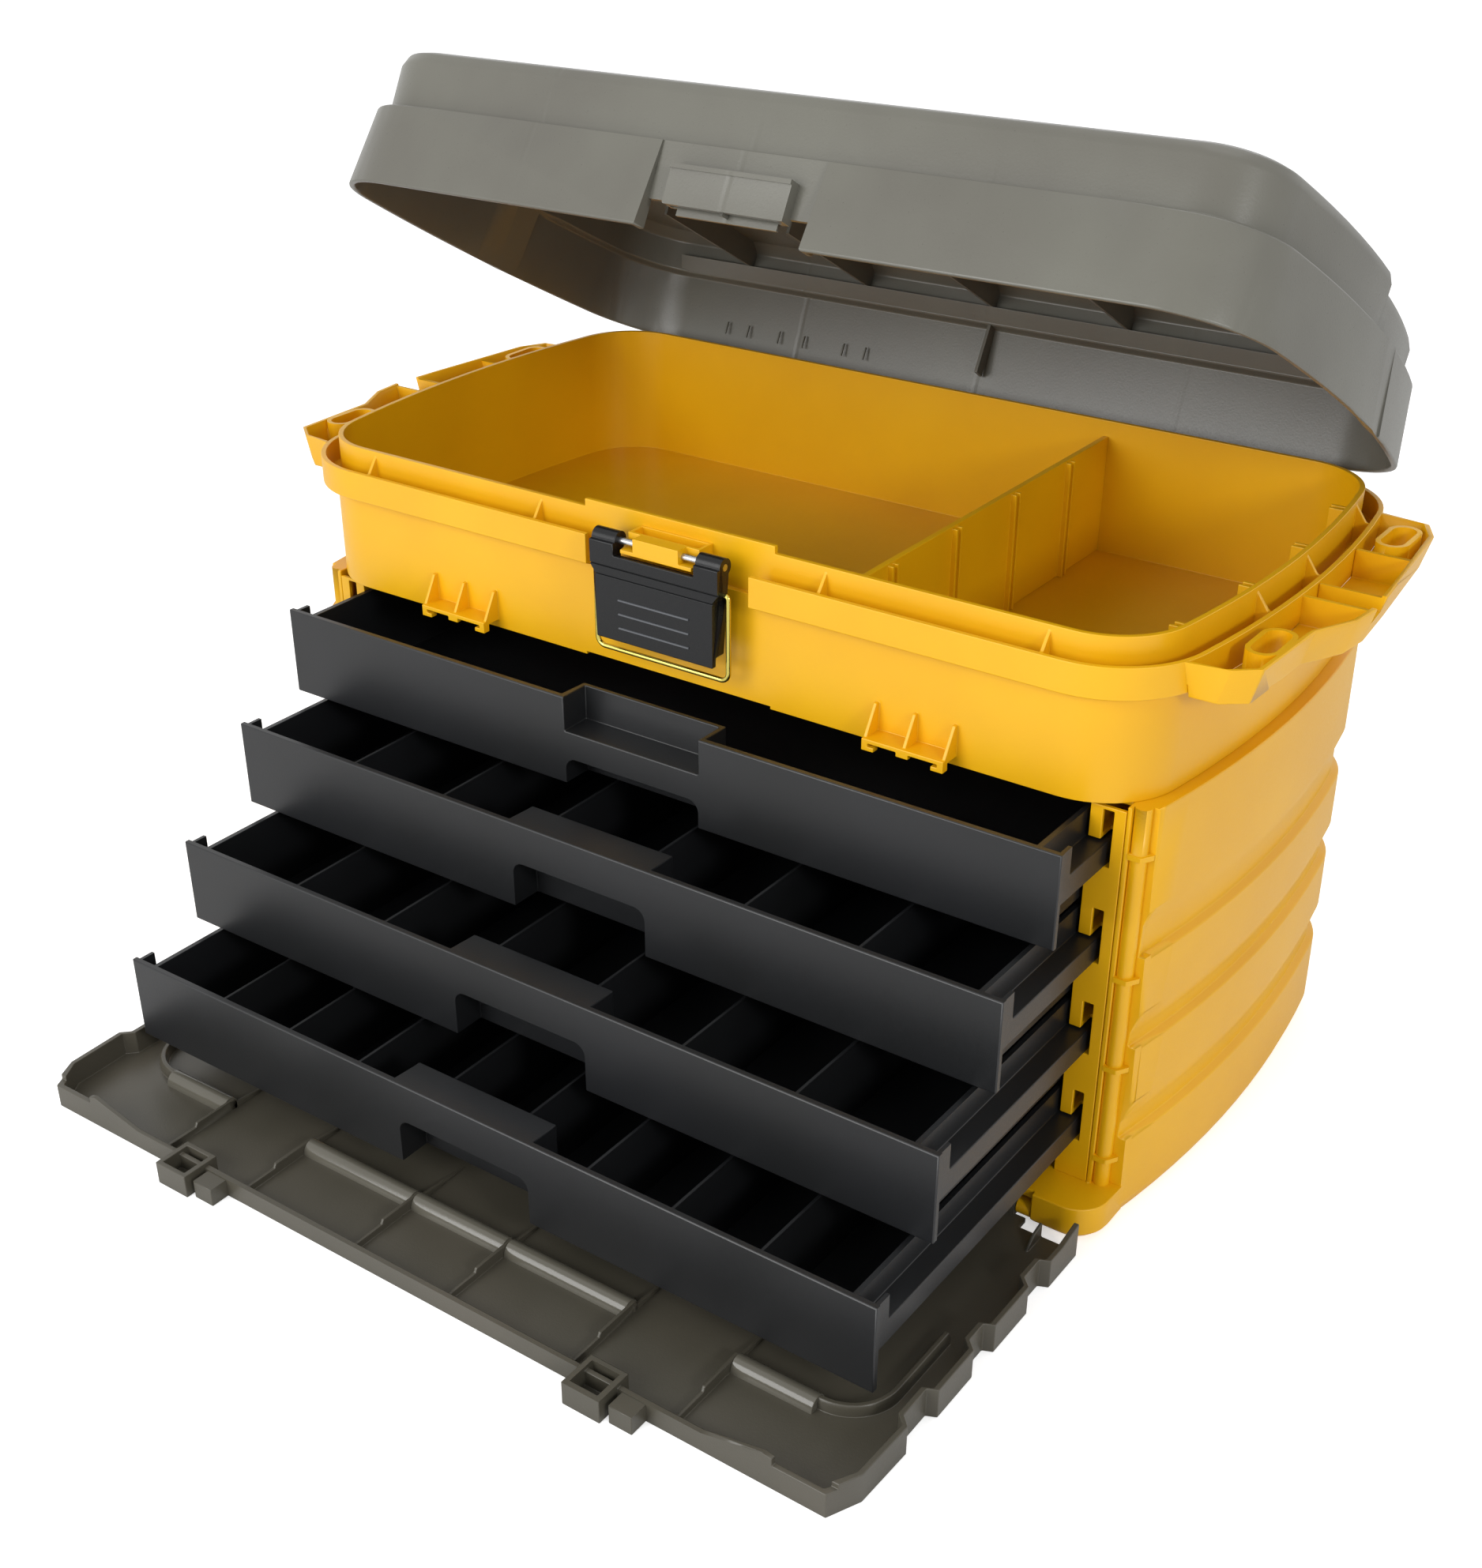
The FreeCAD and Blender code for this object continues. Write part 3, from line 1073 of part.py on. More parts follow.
def door_latch(x):
    """Latch box on the free edge of the door, with a pocket behind it and a stop beside it."""
    wall = DOOR_WALL
    x0 = x - DOOR_LATCH_HALF
    x1 = x + DOOR_LATCH_HALF
    split = x + wall
    y0 = DOOR_FAR_Y - DOOR_LATCH_OUT
    back = DOOR_FAR_Y + 2 * wall
    outer = box(x0, split, y0, back + wall, 0, DOOR_LATCH_H)
    room = box(x0 + wall, split - wall, y0 + wall, back, wall, DOOR_LATCH_H + CUT)
    stop = box(split + wall, x1, y0 + wall, DOOR_FAR_Y + CUT, 0, DOOR_LATCH_H - wall)
    return [outer.cut(room), stop]


def sub_parts():
    """Every piece by name."""
    parts = {
        "top_tub": top_tub(),
        "latch_bracket": latch_bracket(),
        "tub_partition": tub_partition(),
        "cabinet_shell": cabinet_shell(),
        "latch_pin": rod_x(-FLAP_HALF, FLAP_HALF, LATCH_PIN_Y, LATCH_PIN_Z, LATCH_PIN_R),
        "latch_flap": latch_flap(),
        "latch_bail": latch_bail(),
        "lid_shell": turned_lid(lid_shell()),
        "carry_handle": turned_lid(carry_handle()),
        "front_door": front_door(),
    }
    for name, side in (("left", -1), ("right", 1)):
        rack = side_rack()
        guide = drawer_guide()
        parts[f"{name}_side_rack"] = rack if side > 0 else mirrored(rack)
        parts[f"{name}_drawer_guide"] = guide if side > 0 else mirrored(guide)
        parts[f"{name}_handle_pin"] = turned_lid(handle_pin(side))
        parts[f"{name}_lid_hinge_pin"] = lid_hinge_pin(side * LID_KNUCKLE_X)
        parts[f"{name}_door_hinge_pin"] = door_pin(side)
    for index, count in enumerate(DRAWER_COMPARTMENTS):
        parts[f"drawer_{index + 1}"] = drawer(index)
        if count > 1:
            parts[f"drawer_{index + 1}_dividers"] = drawer_dividers(index)
    return parts


def main():
    """Writes one file for each piece."""
    os.makedirs("parts", exist_ok=True)
    for name, shape in sub_parts().items():
        solids = shape.Solids
        print(f"{name}: {len(solids)} solids, valid {shape.isValid()}, {shape.Volume / 1000:.1f} cm3")
        if len(solids) == 1:
            shape = solids[0]
        shape.exportStep(os.path.join("parts", f"{name}.step"))


main()
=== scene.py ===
import logging
import math
from collections.abc import Sequence
from dataclasses import dataclass, field
from enum import Enum

import bmesh
import bpy
from mathutils import Matrix, Vector


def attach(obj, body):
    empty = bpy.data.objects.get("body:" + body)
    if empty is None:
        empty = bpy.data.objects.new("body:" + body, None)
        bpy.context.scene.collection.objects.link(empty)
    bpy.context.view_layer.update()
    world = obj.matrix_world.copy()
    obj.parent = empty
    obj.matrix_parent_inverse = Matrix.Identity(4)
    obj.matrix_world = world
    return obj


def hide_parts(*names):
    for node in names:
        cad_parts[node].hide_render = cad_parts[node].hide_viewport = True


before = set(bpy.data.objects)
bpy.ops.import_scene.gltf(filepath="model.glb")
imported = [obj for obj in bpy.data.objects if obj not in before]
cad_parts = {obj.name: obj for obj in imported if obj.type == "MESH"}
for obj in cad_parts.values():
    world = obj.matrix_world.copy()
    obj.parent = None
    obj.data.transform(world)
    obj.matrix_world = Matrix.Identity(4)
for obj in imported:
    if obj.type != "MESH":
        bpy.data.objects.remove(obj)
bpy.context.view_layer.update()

LOG = logging.getLogger("tool_chest")
MM = 0.001
WHITE = (1.0, 1.0, 1.0, 1.0)

Point = tuple[float, float, float]


class Slot(Enum):
    """Material slots of the record that the pieces take their finish from."""

    CASE = "case_plastic"
    LID = "lid_plastic"
    DRAWER = "drawer_plastic"
    LATCH = "latch_plastic"
    WIRE = "bail_wire"
    STEEL = "pin_steel"


def linear(hex_colour: str) -> tuple[float, float, float, float]:
    """Turns an sRGB hex colour into linear light.

    Args:
        hex_colour: Six hex digits, with or without a leading hash.

    Returns:
        Red, green, blue and an alpha of one.
    """
    digits = hex_colour.lstrip("#")
    channels = [int(digits[i:i + 2], 16) / 255.0 for i in (0, 2, 4)]
    curve = [c / 12.92 if c <= 0.04045 else ((c + 0.055) / 1.055) ** 2.4 for c in channels]
    return (*curve, 1.0)


def pattern_scale(size_mm: float) -> float:
    """Gives the scale of a pattern whose cells have a real size in mm."""
    return 1.0 / (size_mm * MM)


def add_node(tree: bpy.types.NodeTree, kind: str, links: dict | None = None, **settings) -> bpy.types.Node:
    """Adds a shader node, sets it up and links its inputs.

    Args:
        tree: The node tree that gets the node.
        kind: The node's type name.
        links: Input name or number to the output socket that feeds it.
        settings: Properties of the node; a name that is an input sets that input's value.

    Returns:
        The new node.
    """
    node = tree.nodes.new(kind)
    for name, value in settings.items():
        if hasattr(node, name):
            setattr(node, name, value)
        else:
            node.inputs[name.replace("_", " ")].default_value = value
    for name, socket in (links or {}).items():
        tree.links.new(socket, node.inputs[name])
    return node


@dataclass(frozen=True)
class MouldedPlastic:
    """Injection-moulded plastic: dull gloss, fine mould grain, soft flow marks.

    The grain breaks the highlight up into a satin sheen, and the slow colour drift
    is the pigment that is never quite evenly spread.
    """

    name: str
    colour: str
    drift_colour: str
    roughness: float
    roughness_spread: float = 0.08
    grain_mm: float = 0.9
    grain_depth: float = 0.12
    grain_height_mm: float = 0.4
    grain_detail: float = 2.0
    grain_mix: float = 0.6
    drift_mm: float = 90.0
    drift_detail: float = 3.0
    drift_mix: float = 0.55
    drift_band: tuple[float, float] = (0.35, 0.65)
    sink_mm: float = 0.0
    sink_depth: float = 0.0
    sink_width_mm: float = 2.2
    sink_height_mm: float = 1.0
    glow: float = 0.0
    glow_reach_mm: float = 4.0
    glow_spread: tuple[float, float, float] = (1.0, 0.55, 0.12)
    ior: float = 1.49

    def build(self) -> bpy.types.Material:
        """Makes the material.

        Returns:
            The finished material.
        """
        material = bpy.data.materials.new(self.name)
        material.use_nodes = True
        tree = material.node_tree
        shader = tree.nodes["Principled BSDF"]
        place = add_node(tree, "ShaderNodeTexCoord").outputs["Object"]
        drift = add_node(tree, "ShaderNodeTexNoise", {"Vector": place}, Scale=pattern_scale(self.drift_mm),
                         Detail=self.drift_detail, Roughness=self.drift_mix)
        tint = add_node(tree, "ShaderNodeValToRGB", {"Fac": drift.outputs["Fac"]})
        ends = zip(tint.color_ramp.elements, self.drift_band, (self.drift_colour, self.colour))
        for end, position, colour in ends:
            end.position = position
            end.color = linear(colour)
        tree.links.new(tint.outputs["Color"], shader.inputs["Base Color"])
        grain = add_node(tree, "ShaderNodeTexNoise", {"Vector": place}, Scale=pattern_scale(self.grain_mm),
                         Detail=self.grain_detail, Roughness=self.grain_mix)
        gloss = add_node(tree, "ShaderNodeMapRange", {"Value": grain.outputs["Fac"]})
        gloss.inputs["To Min"].default_value = self.roughness - self.roughness_spread
        gloss.inputs["To Max"].default_value = self.roughness + self.roughness_spread
        tree.links.new(gloss.outputs["Result"], shader.inputs["Roughness"])
        bump = add_node(tree, "ShaderNodeBump", {"Height": grain.outputs["Fac"]},
                        Strength=self.grain_depth, Distance=self.grain_height_mm * MM)
        if self.sink_mm:
            bump = self.sink_marks(tree, place, bump)
        tree.links.new(bump.outputs["Normal"], shader.inputs["Normal"])
        shader.inputs["IOR"].default_value = self.ior
        if self.glow:
            shader.inputs["Subsurface Weight"].default_value = self.glow
            shader.inputs["Subsurface Radius"].default_value = self.glow_spread
            shader.inputs["Subsurface Scale"].default_value = self.glow_reach_mm * MM
        return material

    def sink_marks(self, tree: bpy.types.NodeTree, place: bpy.types.NodeSocket,
                   grain: bpy.types.Node) -> bpy.types.Node:
        """Adds the faint upright sink lines that ribs on the far side leave in a thin wall.

        Args:
            tree: The material's nodes.
            place: Object coordinates.
            grain: The bump node of the fine grain.

        Returns:
            The bump node that holds both.
        """
        split = add_node(tree, "ShaderNodeSeparateXYZ", {"Vector": place})
        cell = add_node(tree, "ShaderNodeMath", {0: split.outputs["X"]}, operation="PINGPONG")
        cell.inputs[1].default_value = self.sink_mm * MM
        line = add_node(tree, "ShaderNodeMapRange", {"Value": cell.outputs[0]},
                        interpolation_type="SMOOTHSTEP")
        line.inputs["From Max"].default_value = self.sink_width_mm * MM
        both = {"Height": line.outputs["Result"], "Normal": grain.outputs["Normal"]}
        return add_node(tree, "ShaderNodeBump", both, Strength=self.sink_depth,
                        Distance=self.sink_height_mm * MM)


@dataclass(frozen=True)
class Metal:
    """Bright metal whose gloss wavers finely, as on drawn or turned steel."""

    name: str
    colour: str
    roughness: float
    brighter: float = 0.06
    duller: float = 0.08
    waver_mm: float = 0.4
    waver_detail: float = 2.0

    def build(self) -> bpy.types.Material:
        """Makes the material.

        Returns:
            The finished material.
        """
        material = bpy.data.materials.new(self.name)
        material.use_nodes = True
        tree = material.node_tree
        shader = tree.nodes["Principled BSDF"]
        shader.inputs["Metallic"].default_value = 1.0
        shader.inputs["Base Color"].default_value = linear(self.colour)
        place = add_node(tree, "ShaderNodeTexCoord").outputs["Object"]
        noise = add_node(tree, "ShaderNodeTexNoise", {"Vector": place}, Scale=pattern_scale(self.waver_mm),
                         Detail=self.waver_detail)
        gloss = add_node(tree, "ShaderNodeMapRange", {"Value": noise.outputs["Fac"]})
        gloss.inputs["To Min"].default_value = self.roughness - self.brighter
        gloss.inputs["To Max"].default_value = self.roughness + self.duller
        tree.links.new(gloss.outputs["Result"], shader.inputs["Roughness"])
        return material


# Yellow polypropylene of the case: satin, a little light passes into the thin walls
CASE_PLASTIC = MouldedPlastic("case_yellow_polypropylene", "#E6AE04", "#DFA602", 0.38, grain_mm=1.1,
                              grain_depth=0.10, glow=0.06)
# Warm grey polypropylene of the lid: satin, with faint upright sink lines
LID_PLASTIC = MouldedPlastic("lid_grey_polypropylene", "#69685F", "#615F57", 0.31, grain_mm=1.0,
                             grain_depth=0.12, sink_mm=57.0, sink_depth=0.12)
# Grey polypropylene of the door, darkened below the lid's grey as painted shade from the drawers above it:
# the same satin, without the lines
DOOR_PAINTED_SHADE_PLASTIC = MouldedPlastic("door_grey_polypropylene_painted_shade", "#504C42", "#48453B", 0.34, grain_mm=1.0,
                              grain_depth=0.12)
# Polypropylene of the door's bead: rubbed smooth by handling, so it takes a sharp highlight; its colour is
# kept lighter than the door's as a painted highlight
BEAD_PAINTED_HIGHLIGHT_PLASTIC = MouldedPlastic("door_bead_rubbed_painted_highlight", "#625F55", "#5A574D", 0.15, grain_mm=1.0,
                              grain_depth=0.05, roughness_spread=0.05)
# Charcoal polystyrene of the drawers: smooth, with a soft dark sheen
DRAWER_PLASTIC = MouldedPlastic("drawer_charcoal_polystyrene", "#1B1C1E", "#171819", 0.36, grain_mm=0.8,
                                grain_depth=0.08)
# Black acetal of the latch and handle: denser and a little glossier
LATCH_PLASTIC = MouldedPlastic("latch_black_acetal", "#0E0F11", "#0C0D0F", 0.30, grain_mm=0.6,
                               grain_depth=0.08, ior=1.40)
# Acetal of the grip bars: paler grey and duller than the flap
GRIP_PLASTIC = MouldedPlastic("latch_pale_grip_acetal", "#5C5E62", "#515357", 0.45, grain_mm=0.6,
                              grain_depth=0.10)
# Gold-coloured plating of the wire: bright and pale, with a clear reflection
BAIL_PLATING = Metal("bail_gold_plated_wire", "#CDBF62", 0.20)
# Bright steel of the pins: turned, so its reflection is a little duller
PIN_STEEL = Metal("pin_bright_steel", "#B9BABC", 0.28)


@dataclass
class Workshop:
    """Shapes new solids, rounds and finishes pieces, and puts them in the place of nodes.

    Edges sharper than edge_deg are rounded where room_share times the rounding's width is free.
    Where a wall folds over, the edges within fold_reach widths are left sharp at the next try.
    """

    materials: dict[Slot, bpy.types.Material] = field(default_factory=dict)
    weld_mm: float = 0.01
    flat_deg: float = 0.6
    edge_deg: float = 32.0
    smooth_deg: float = 38.0
    round_steps: int = 2
    room_share: float = 2.3
    tries: int = 5
    fold_area_mm2: float = 0.01
    fold_reach: float = 2.5

    def stock(self) -> None:
        """Builds one material for each slot."""
        finishes = {Slot.CASE: CASE_PLASTIC, Slot.LID: LID_PLASTIC, Slot.DRAWER: DRAWER_PLASTIC,
                    Slot.LATCH: LATCH_PLASTIC, Slot.WIRE: BAIL_PLATING, Slot.STEEL: PIN_STEEL}
        for slot, finish in finishes.items():
            self.materials[slot] = finish.build()

    def finish_node(self, node: str, slot: Slot) -> None:
        """Gives a node of the frame, as it is, the material of its slot.

        Args:
            node: Name of the node.
            slot: Material slot.
        """
        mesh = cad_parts[node].data
        mesh.materials.clear()
        mesh.materials.append(self.materials[slot])

    def dress(self, node: str, body: str, slot: Slot, round_mm: float,
              material: bpy.types.Material | None = None, cuts: Sequence[bpy.types.Object] = (),
              narrow: tuple[float, float] | None = None) -> None:
        """Copies a node, rounds its edges as a mould does and puts the copy in its place.

        Args:
            node: Name of the node.
            body: Body that it rides on.
            slot: Material slot.
            round_mm: Width of the rounding on each edge.
            material: Another material than the slot's own.
            cuts: Solids whose form is cut away first.
            narrow: Height in mm below which the piece is narrowed, and the share it keeps.
        """
        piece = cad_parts[node].copy()
        piece.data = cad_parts[node].data.copy()
        for key in list(piece.keys()):
            del piece[key]
        piece.parent = None
        piece.name = f"{node}_dressed"
        bpy.context.scene.collection.objects.link(piece)
        self.merge(piece)
        for cut in cuts:
            self.carve(piece, cut)
        if narrow:
            height, share = narrow
            for vert in piece.data.vertices:
                vert.co.x *= share if vert.co.z < height * MM else 1.0
        self.complete(piece, body, slot, round_mm, material)
        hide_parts(node)

    def complete(self, piece: bpy.types.Object, body: str, slot: Slot, round_mm: float,
                 material: bpy.types.Material | None = None) -> None:
        """Rounds the edges of a piece, gives it its material and sets it on its body.

        A rounding that folds a thin wall over is taken back and done again without the edges there.

        Args:
            piece: The piece.
            body: Body that it rides on.
            slot: Material slot.
            round_mm: Width of the rounding on each edge.
            material: Another material than the slot's own.
        """
        self.mark_edges(piece, round_mm)
        self.take(piece)
        for _ in range(self.tries):
            sharp = piece.data.copy()
            self.round_edges(piece, round_mm)
            folds = self.folded_corners(piece.data)
            if not folds:
                break
            piece.data = sharp
            self.unmark_edges(piece, folds, self.fold_reach * round_mm * MM)
        else:
            self.round_edges(piece, round_mm)
        bpy.ops.object.shade_smooth_by_angle(angle=math.radians(self.smooth_deg))
        evening = piece.modifiers.new("even_normals", "WEIGHTED_NORMAL")
        evening.keep_sharp = True
        bpy.ops.object.modifier_apply(modifier=evening.name)
        piece.data.materials.clear()
        piece.data.materials.append(material or self.materials[slot])
        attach(piece, body)
        LOG.info("finished %s: %d faces", piece.name, len(piece.data.polygons))

    @staticmethod
    def extrude(name: str, outline: Sequence[Point], reach: Point) -> bpy.types.Object:
        """Shapes a filled ring into an outline and pulls it out into a solid.

        Args:
            name: Name of the new object.
            outline: Corners in mm, in order, all in one plane.
            reach: How far the outline is pulled, in mm.

        Returns:
            The solid, with its place in the mesh.
        """
        bpy.ops.object.select_all(action="DESELECT")
        bpy.ops.mesh.primitive_circle_add(vertices=len(outline), fill_type="NGON", location=(0.0, 0.0, 0.0))
        solid = bpy.context.object
        solid.name = name
        bpy.ops.object.mode_set(mode="EDIT")
        ring = bmesh.from_edit_mesh(solid.data)
        for vert, corner in zip(ring.verts, outline):
            vert.co = Vector(corner) * MM
        bmesh.update_edit_mesh(solid.data)
        bpy.ops.mesh.select_all(action="SELECT")
        bpy.ops.mesh.extrude_region_move(TRANSFORM_OT_translate={"value": Vector(reach) * MM})
        bpy.ops.mesh.select_all(action="SELECT")
        bpy.ops.mesh.normals_make_consistent(inside=False)
        bpy.ops.object.mode_set(mode="OBJECT")
        return solid

    def block(self, name: str, low: Point, high: Point) -> bpy.types.Object:
        """Makes a box.

        Args:
            name: Name of the new object.
            low: Corner with the smallest values, in mm.
            high: Corner with the largest values, in mm.

        Returns:
            The box.
        """
        x0, y0, z0 = low
        x1, y1, z1 = high
        base = [(x0, y0, z0), (x1, y0, z0), (x1, y1, z0), (x0, y1, z0)]
        return self.extrude(name, base, (0.0, 0.0, z1 - z0))

    @staticmethod
    def repeat(solid: bpy.types.Object, steps: Sequence[float],
               way: Point = (1.0, 0.0, 0.0)) -> list[bpy.types.Object]:
        """Sets a solid and copies of it in a row, each copy with its own mesh.

        Args:
            solid: The solid, which becomes the first of the row.
            steps: How far each one stands from where the solid was made, in mm.
            way: Direction of the row.

        Returns:
            The row, in the order of its steps.
        """
        row = [solid] + [solid.copy() for _ in steps[1:]]
        for twin in row[1:]:
            twin.data = solid.data.copy()
            bpy.context.scene.collection.objects.link(twin)
        for twin, step in zip(row, steps):
            twin.data.transform(Matrix.Translation(Vector(way) * step * MM))
        return row

    def join(self, name: str, solids: Sequence[bpy.types.Object]) -> bpy.types.Object:
        """Joins solids into one piece.

        Args:
            name: Name of the piece.
            solids: The solids, which the piece takes up.

        Returns:
            The piece.
        """
        piece = solids[0]
        self.take(piece)
        for solid in solids:
            solid.select_set(True)
        bpy.ops.object.join()
        piece.name = name
        return piece

    def carve(self, piece: bpy.types.Object, cutter: bpy.types.Object) -> None:
        """Cuts the form of another solid out of a piece and removes that solid.

        Args:
            piece: The piece.
            cutter: The solid.
        """
        self.take(piece)
        cut = piece.modifiers.new("cut", "BOOLEAN")
        cut.object = cutter
        cut.operation = "DIFFERENCE"
        cut.solver = "EXACT"
        bpy.ops.object.modifier_apply(modifier=cut.name)
        bpy.data.objects.remove(cutter)

    def merge(self, piece: bpy.types.Object) -> None:
        """Joins the loose triangles of a copied node into whole faces.

        Args:
            piece: The copy.
        """
        mesh = bmesh.new()
        mesh.from_mesh(piece.data)
        bmesh.ops.remove_doubles(mesh, verts=mesh.verts, dist=self.weld_mm * MM)
        bmesh.ops.dissolve_limit(mesh, angle_limit=math.radians(self.flat_deg), verts=mesh.verts,
                                 edges=mesh.edges)
        mesh.to_mesh(piece.data)
        mesh.free()

    def mark_edges(self, piece: bpy.types.Object, round_mm: float) -> None:
        """Marks the sharp edges that have room for a rounding at both their ends.

        Args:
            piece: The piece, with whole faces.
            round_mm: Width of the rounding.
        """
        mesh = bmesh.new()
        mesh.from_mesh(piece.data)
        weight = mesh.edges.layers.float.new("bevel_weight_edge")
        room = self.room_share * round_mm * MM
        tight = {vert.index for vert in mesh.verts
                 if min((edge.calc_length() for edge in vert.link_edges), default=0.0) < room}
        for edge in mesh.edges:
            if len(edge.link_faces) != 2 or edge.calc_face_angle(0.0) < math.radians(self.edge_deg):
                continue
            if not tight.intersection(vert.index for vert in edge.verts):
                edge[weight] = 1.0
        mesh.to_mesh(piece.data)
        mesh.free()

    def round_edges(self, piece: bpy.types.Object, round_mm: float) -> None:
        """Rounds the marked edges of the active piece.

        Args:
            piece: The piece.
            round_mm: Width of the rounding.
        """
        rounding = piece.modifiers.new("edge_rounding", "BEVEL")
        rounding.width = round_mm * MM
        rounding.segments = self.round_steps
        rounding.limit_method = "WEIGHT"
        rounding.use_clamp_overlap = False
        rounding.miter_outer = "MITER_ARC"
        bpy.ops.object.modifier_apply(modifier=rounding.name)

    def folded_corners(self, mesh: bpy.types.Mesh) -> list[Vector]:
        """Finds triangles that face the wrong way, because a wall is too thin for its rounding.

        Args:
            mesh: The rounded mesh.

        Returns:
            The corners of those triangles.
        """
        mesh.calc_loop_triangles()
        least = self.fold_area_mm2 * MM * MM
        corners = []
        for triangle in mesh.loop_triangles:
            a, b, c = (mesh.vertices[i].co for i in triangle.vertices)
            if (b - a).cross(c - a).dot(mesh.polygons[triangle.polygon_index].normal) < -least:
                corners += [a.copy(), b.copy(), c.copy()]
        return corners

    @staticmethod
    def unmark_edges(piece: bpy.types.Object, spots: Sequence[Vector], reach: float) -> None:
        """Leaves the edges near some spots sharp.

        Args:
            piece: The piece, with its edges marked.
            spots: The spots, in metres.
            reach: How near counts, in metres.
        """
        weights = piece.data.attributes["bevel_weight_edge"].data
        near = {vert.index for vert in piece.data.vertices
                if any((vert.co - spot).length < reach for spot in spots)}
        for edge in piece.data.edges:
            if near.intersection(edge.vertices):
                weights[edge.index].value = 0.0

    @staticmethod
    def take(piece: bpy.types.Object) -> None:
        """Makes a piece the only one that the operators act on.

        Args:
            piece: The piece.
        """
        bpy.ops.object.select_all(action="DESELECT")
        piece.select_set(True)
        bpy.context.view_layer.objects.active = piece


@dataclass(frozen=True)
class Lamp:
    """Soft square lamp: its place and side are in metres, its power is in watts."""

    name: str
    place: Point
    side: float
    power: float

    def hang(self, aim: Point) -> None:
        """Hangs the lamp and turns it to a point.

        Args:
            aim: The point, in metres.
        """
        light = bpy.data.lights.new(self.name, "AREA")
        light.size = self.side
        light.energy = self.power
        lamp = bpy.data.objects.new(self.name, light)
        lamp.location = self.place
        facing = Vector(aim) - Vector(self.place)
        lamp.rotation_euler = facing.to_track_quat("-Z", "Y").to_euler()
        bpy.context.scene.collection.objects.link(lamp)


@dataclass
class Studio:
    """Pale floor, soft lamps and the camera of the photograph."""

    azimuth_deg: float = 36.31
    elevation_deg: float = 30.64
    roll_deg: float = -0.46
    eye_mm: Point = (511.0, -801.1, 599.9)
    focal_px: float = 2569.25
    height_px: float = 1985.0
    centre_px: tuple[float, float] = (45.27, 134.24)
    sensor_mm: float = 36.0
    aim: Point = (0.0, -0.05, 0.18)
    lamps: tuple[Lamp, ...] = (Lamp("key_lamp", (-0.7, -2.3, 1.1), 1.6, 41.0),
                               Lamp("strip_lamp", (1.9, -0.95, 1.0), 0.35, 12.0),
                               Lamp("top_lamp", (0.1, 0.6, 2.4), 1.8, 9.0))
    sky_light: float = 0.6
    sky_seen: float = 1.0
    floor_side: float = 12.0
    floor_colour: str = "#F4F4F4"
    floor_roughness: float = 0.9
    floor_shine: float = 0.1
    floor_glow: float = 0.5

    def camera(self) -> None:
        """Stands the camera where the photographer's stood."""
        az = math.radians(self.azimuth_deg)
        el = math.radians(self.elevation_deg)
        back = Vector((math.sin(az) * math.cos(el), -math.cos(az) * math.cos(el), math.sin(el)))
        right = (-back).cross(Vector((0.0, 0.0, 1.0))).normalized()
        up = right.cross(-back)
        roll = math.radians(self.roll_deg)
        turned_right = math.cos(roll) * right + math.sin(roll) * up
        turned_up = -math.sin(roll) * right + math.cos(roll) * up
        lens = bpy.data.cameras.new("photo_camera")
        lens.sensor_width = self.sensor_mm
        lens.lens = self.focal_px * self.sensor_mm / self.height_px
        lens.shift_x = self.centre_px[0] / self.height_px
        lens.shift_y = self.centre_px[1] / self.height_px
        camera = bpy.data.objects.new("photo_camera", lens)
        matrix = Matrix((turned_right, turned_up, back)).transposed().to_4x4()
        matrix.translation = Vector(self.eye_mm) * MM
        camera.matrix_world = matrix
        bpy.context.scene.collection.objects.link(camera)
        bpy.context.scene.camera = camera

    def world(self) -> None:
        """White sky where the camera or a gloss sees it, and a dimmer one for the light."""
        world = bpy.data.worlds.new("studio_sky")
        world.use_nodes = True
        tree = world.node_tree
        sky = tree.nodes["Background"]
        sky.inputs["Color"].default_value = WHITE
        path = add_node(tree, "ShaderNodeLightPath")
        rays = {0: path.outputs["Is Camera Ray"], 1: path.outputs["Is Glossy Ray"]}
        seen = add_node(tree, "ShaderNodeMath", rays, operation="MAXIMUM")
        level = add_node(tree, "ShaderNodeMapRange", {"Value": seen.outputs[0]})
        level.inputs["To Min"].default_value = self.sky_light
        level.inputs["To Max"].default_value = self.sky_seen
        tree.links.new(level.outputs["Result"], sky.inputs["Strength"])
        bpy.context.scene.world = world

    def floor(self) -> None:
        """Pale floor that keeps the shadow of the chest."""
        bpy.ops.object.select_all(action="DESELECT")
        bpy.ops.mesh.primitive_plane_add(size=self.floor_side, location=(0.0, 0.0, 0.0))
        ground = bpy.context.object
        ground.name = "studio_floor"
        material = bpy.data.materials.new("studio_floor_paper")
        material.use_nodes = True
        tree = material.node_tree
        shader = tree.nodes["Principled BSDF"]
        shader.inputs["Base Color"].default_value = linear(self.floor_colour)
        shader.inputs["Roughness"].default_value = self.floor_roughness
        shader.inputs["Specular IOR Level"].default_value = self.floor_shine
        paper = shader.outputs["BSDF"]
        path = add_node(tree, "ShaderNodeLightPath")
        glow = add_node(tree, "ShaderNodeEmission", Color=WHITE, Strength=self.floor_glow)
        both = add_node(tree, "ShaderNodeAddShader", {0: paper, 1: glow.outputs["Emission"]})
        choice = {0: path.outputs["Is Camera Ray"], 1: paper, 2: both.outputs["Shader"]}
        mix = add_node(tree, "ShaderNodeMixShader", choice)
        tree.links.new(mix.outputs["Shader"], tree.nodes["Material Output"].inputs["Surface"])
        ground.data.materials.append(material)

    def build(self) -> None:
        """Sets the whole studio up."""
        self.camera()
        self.world()
        self.floor()
        for lamp in self.lamps:
            lamp.hang(self.aim)


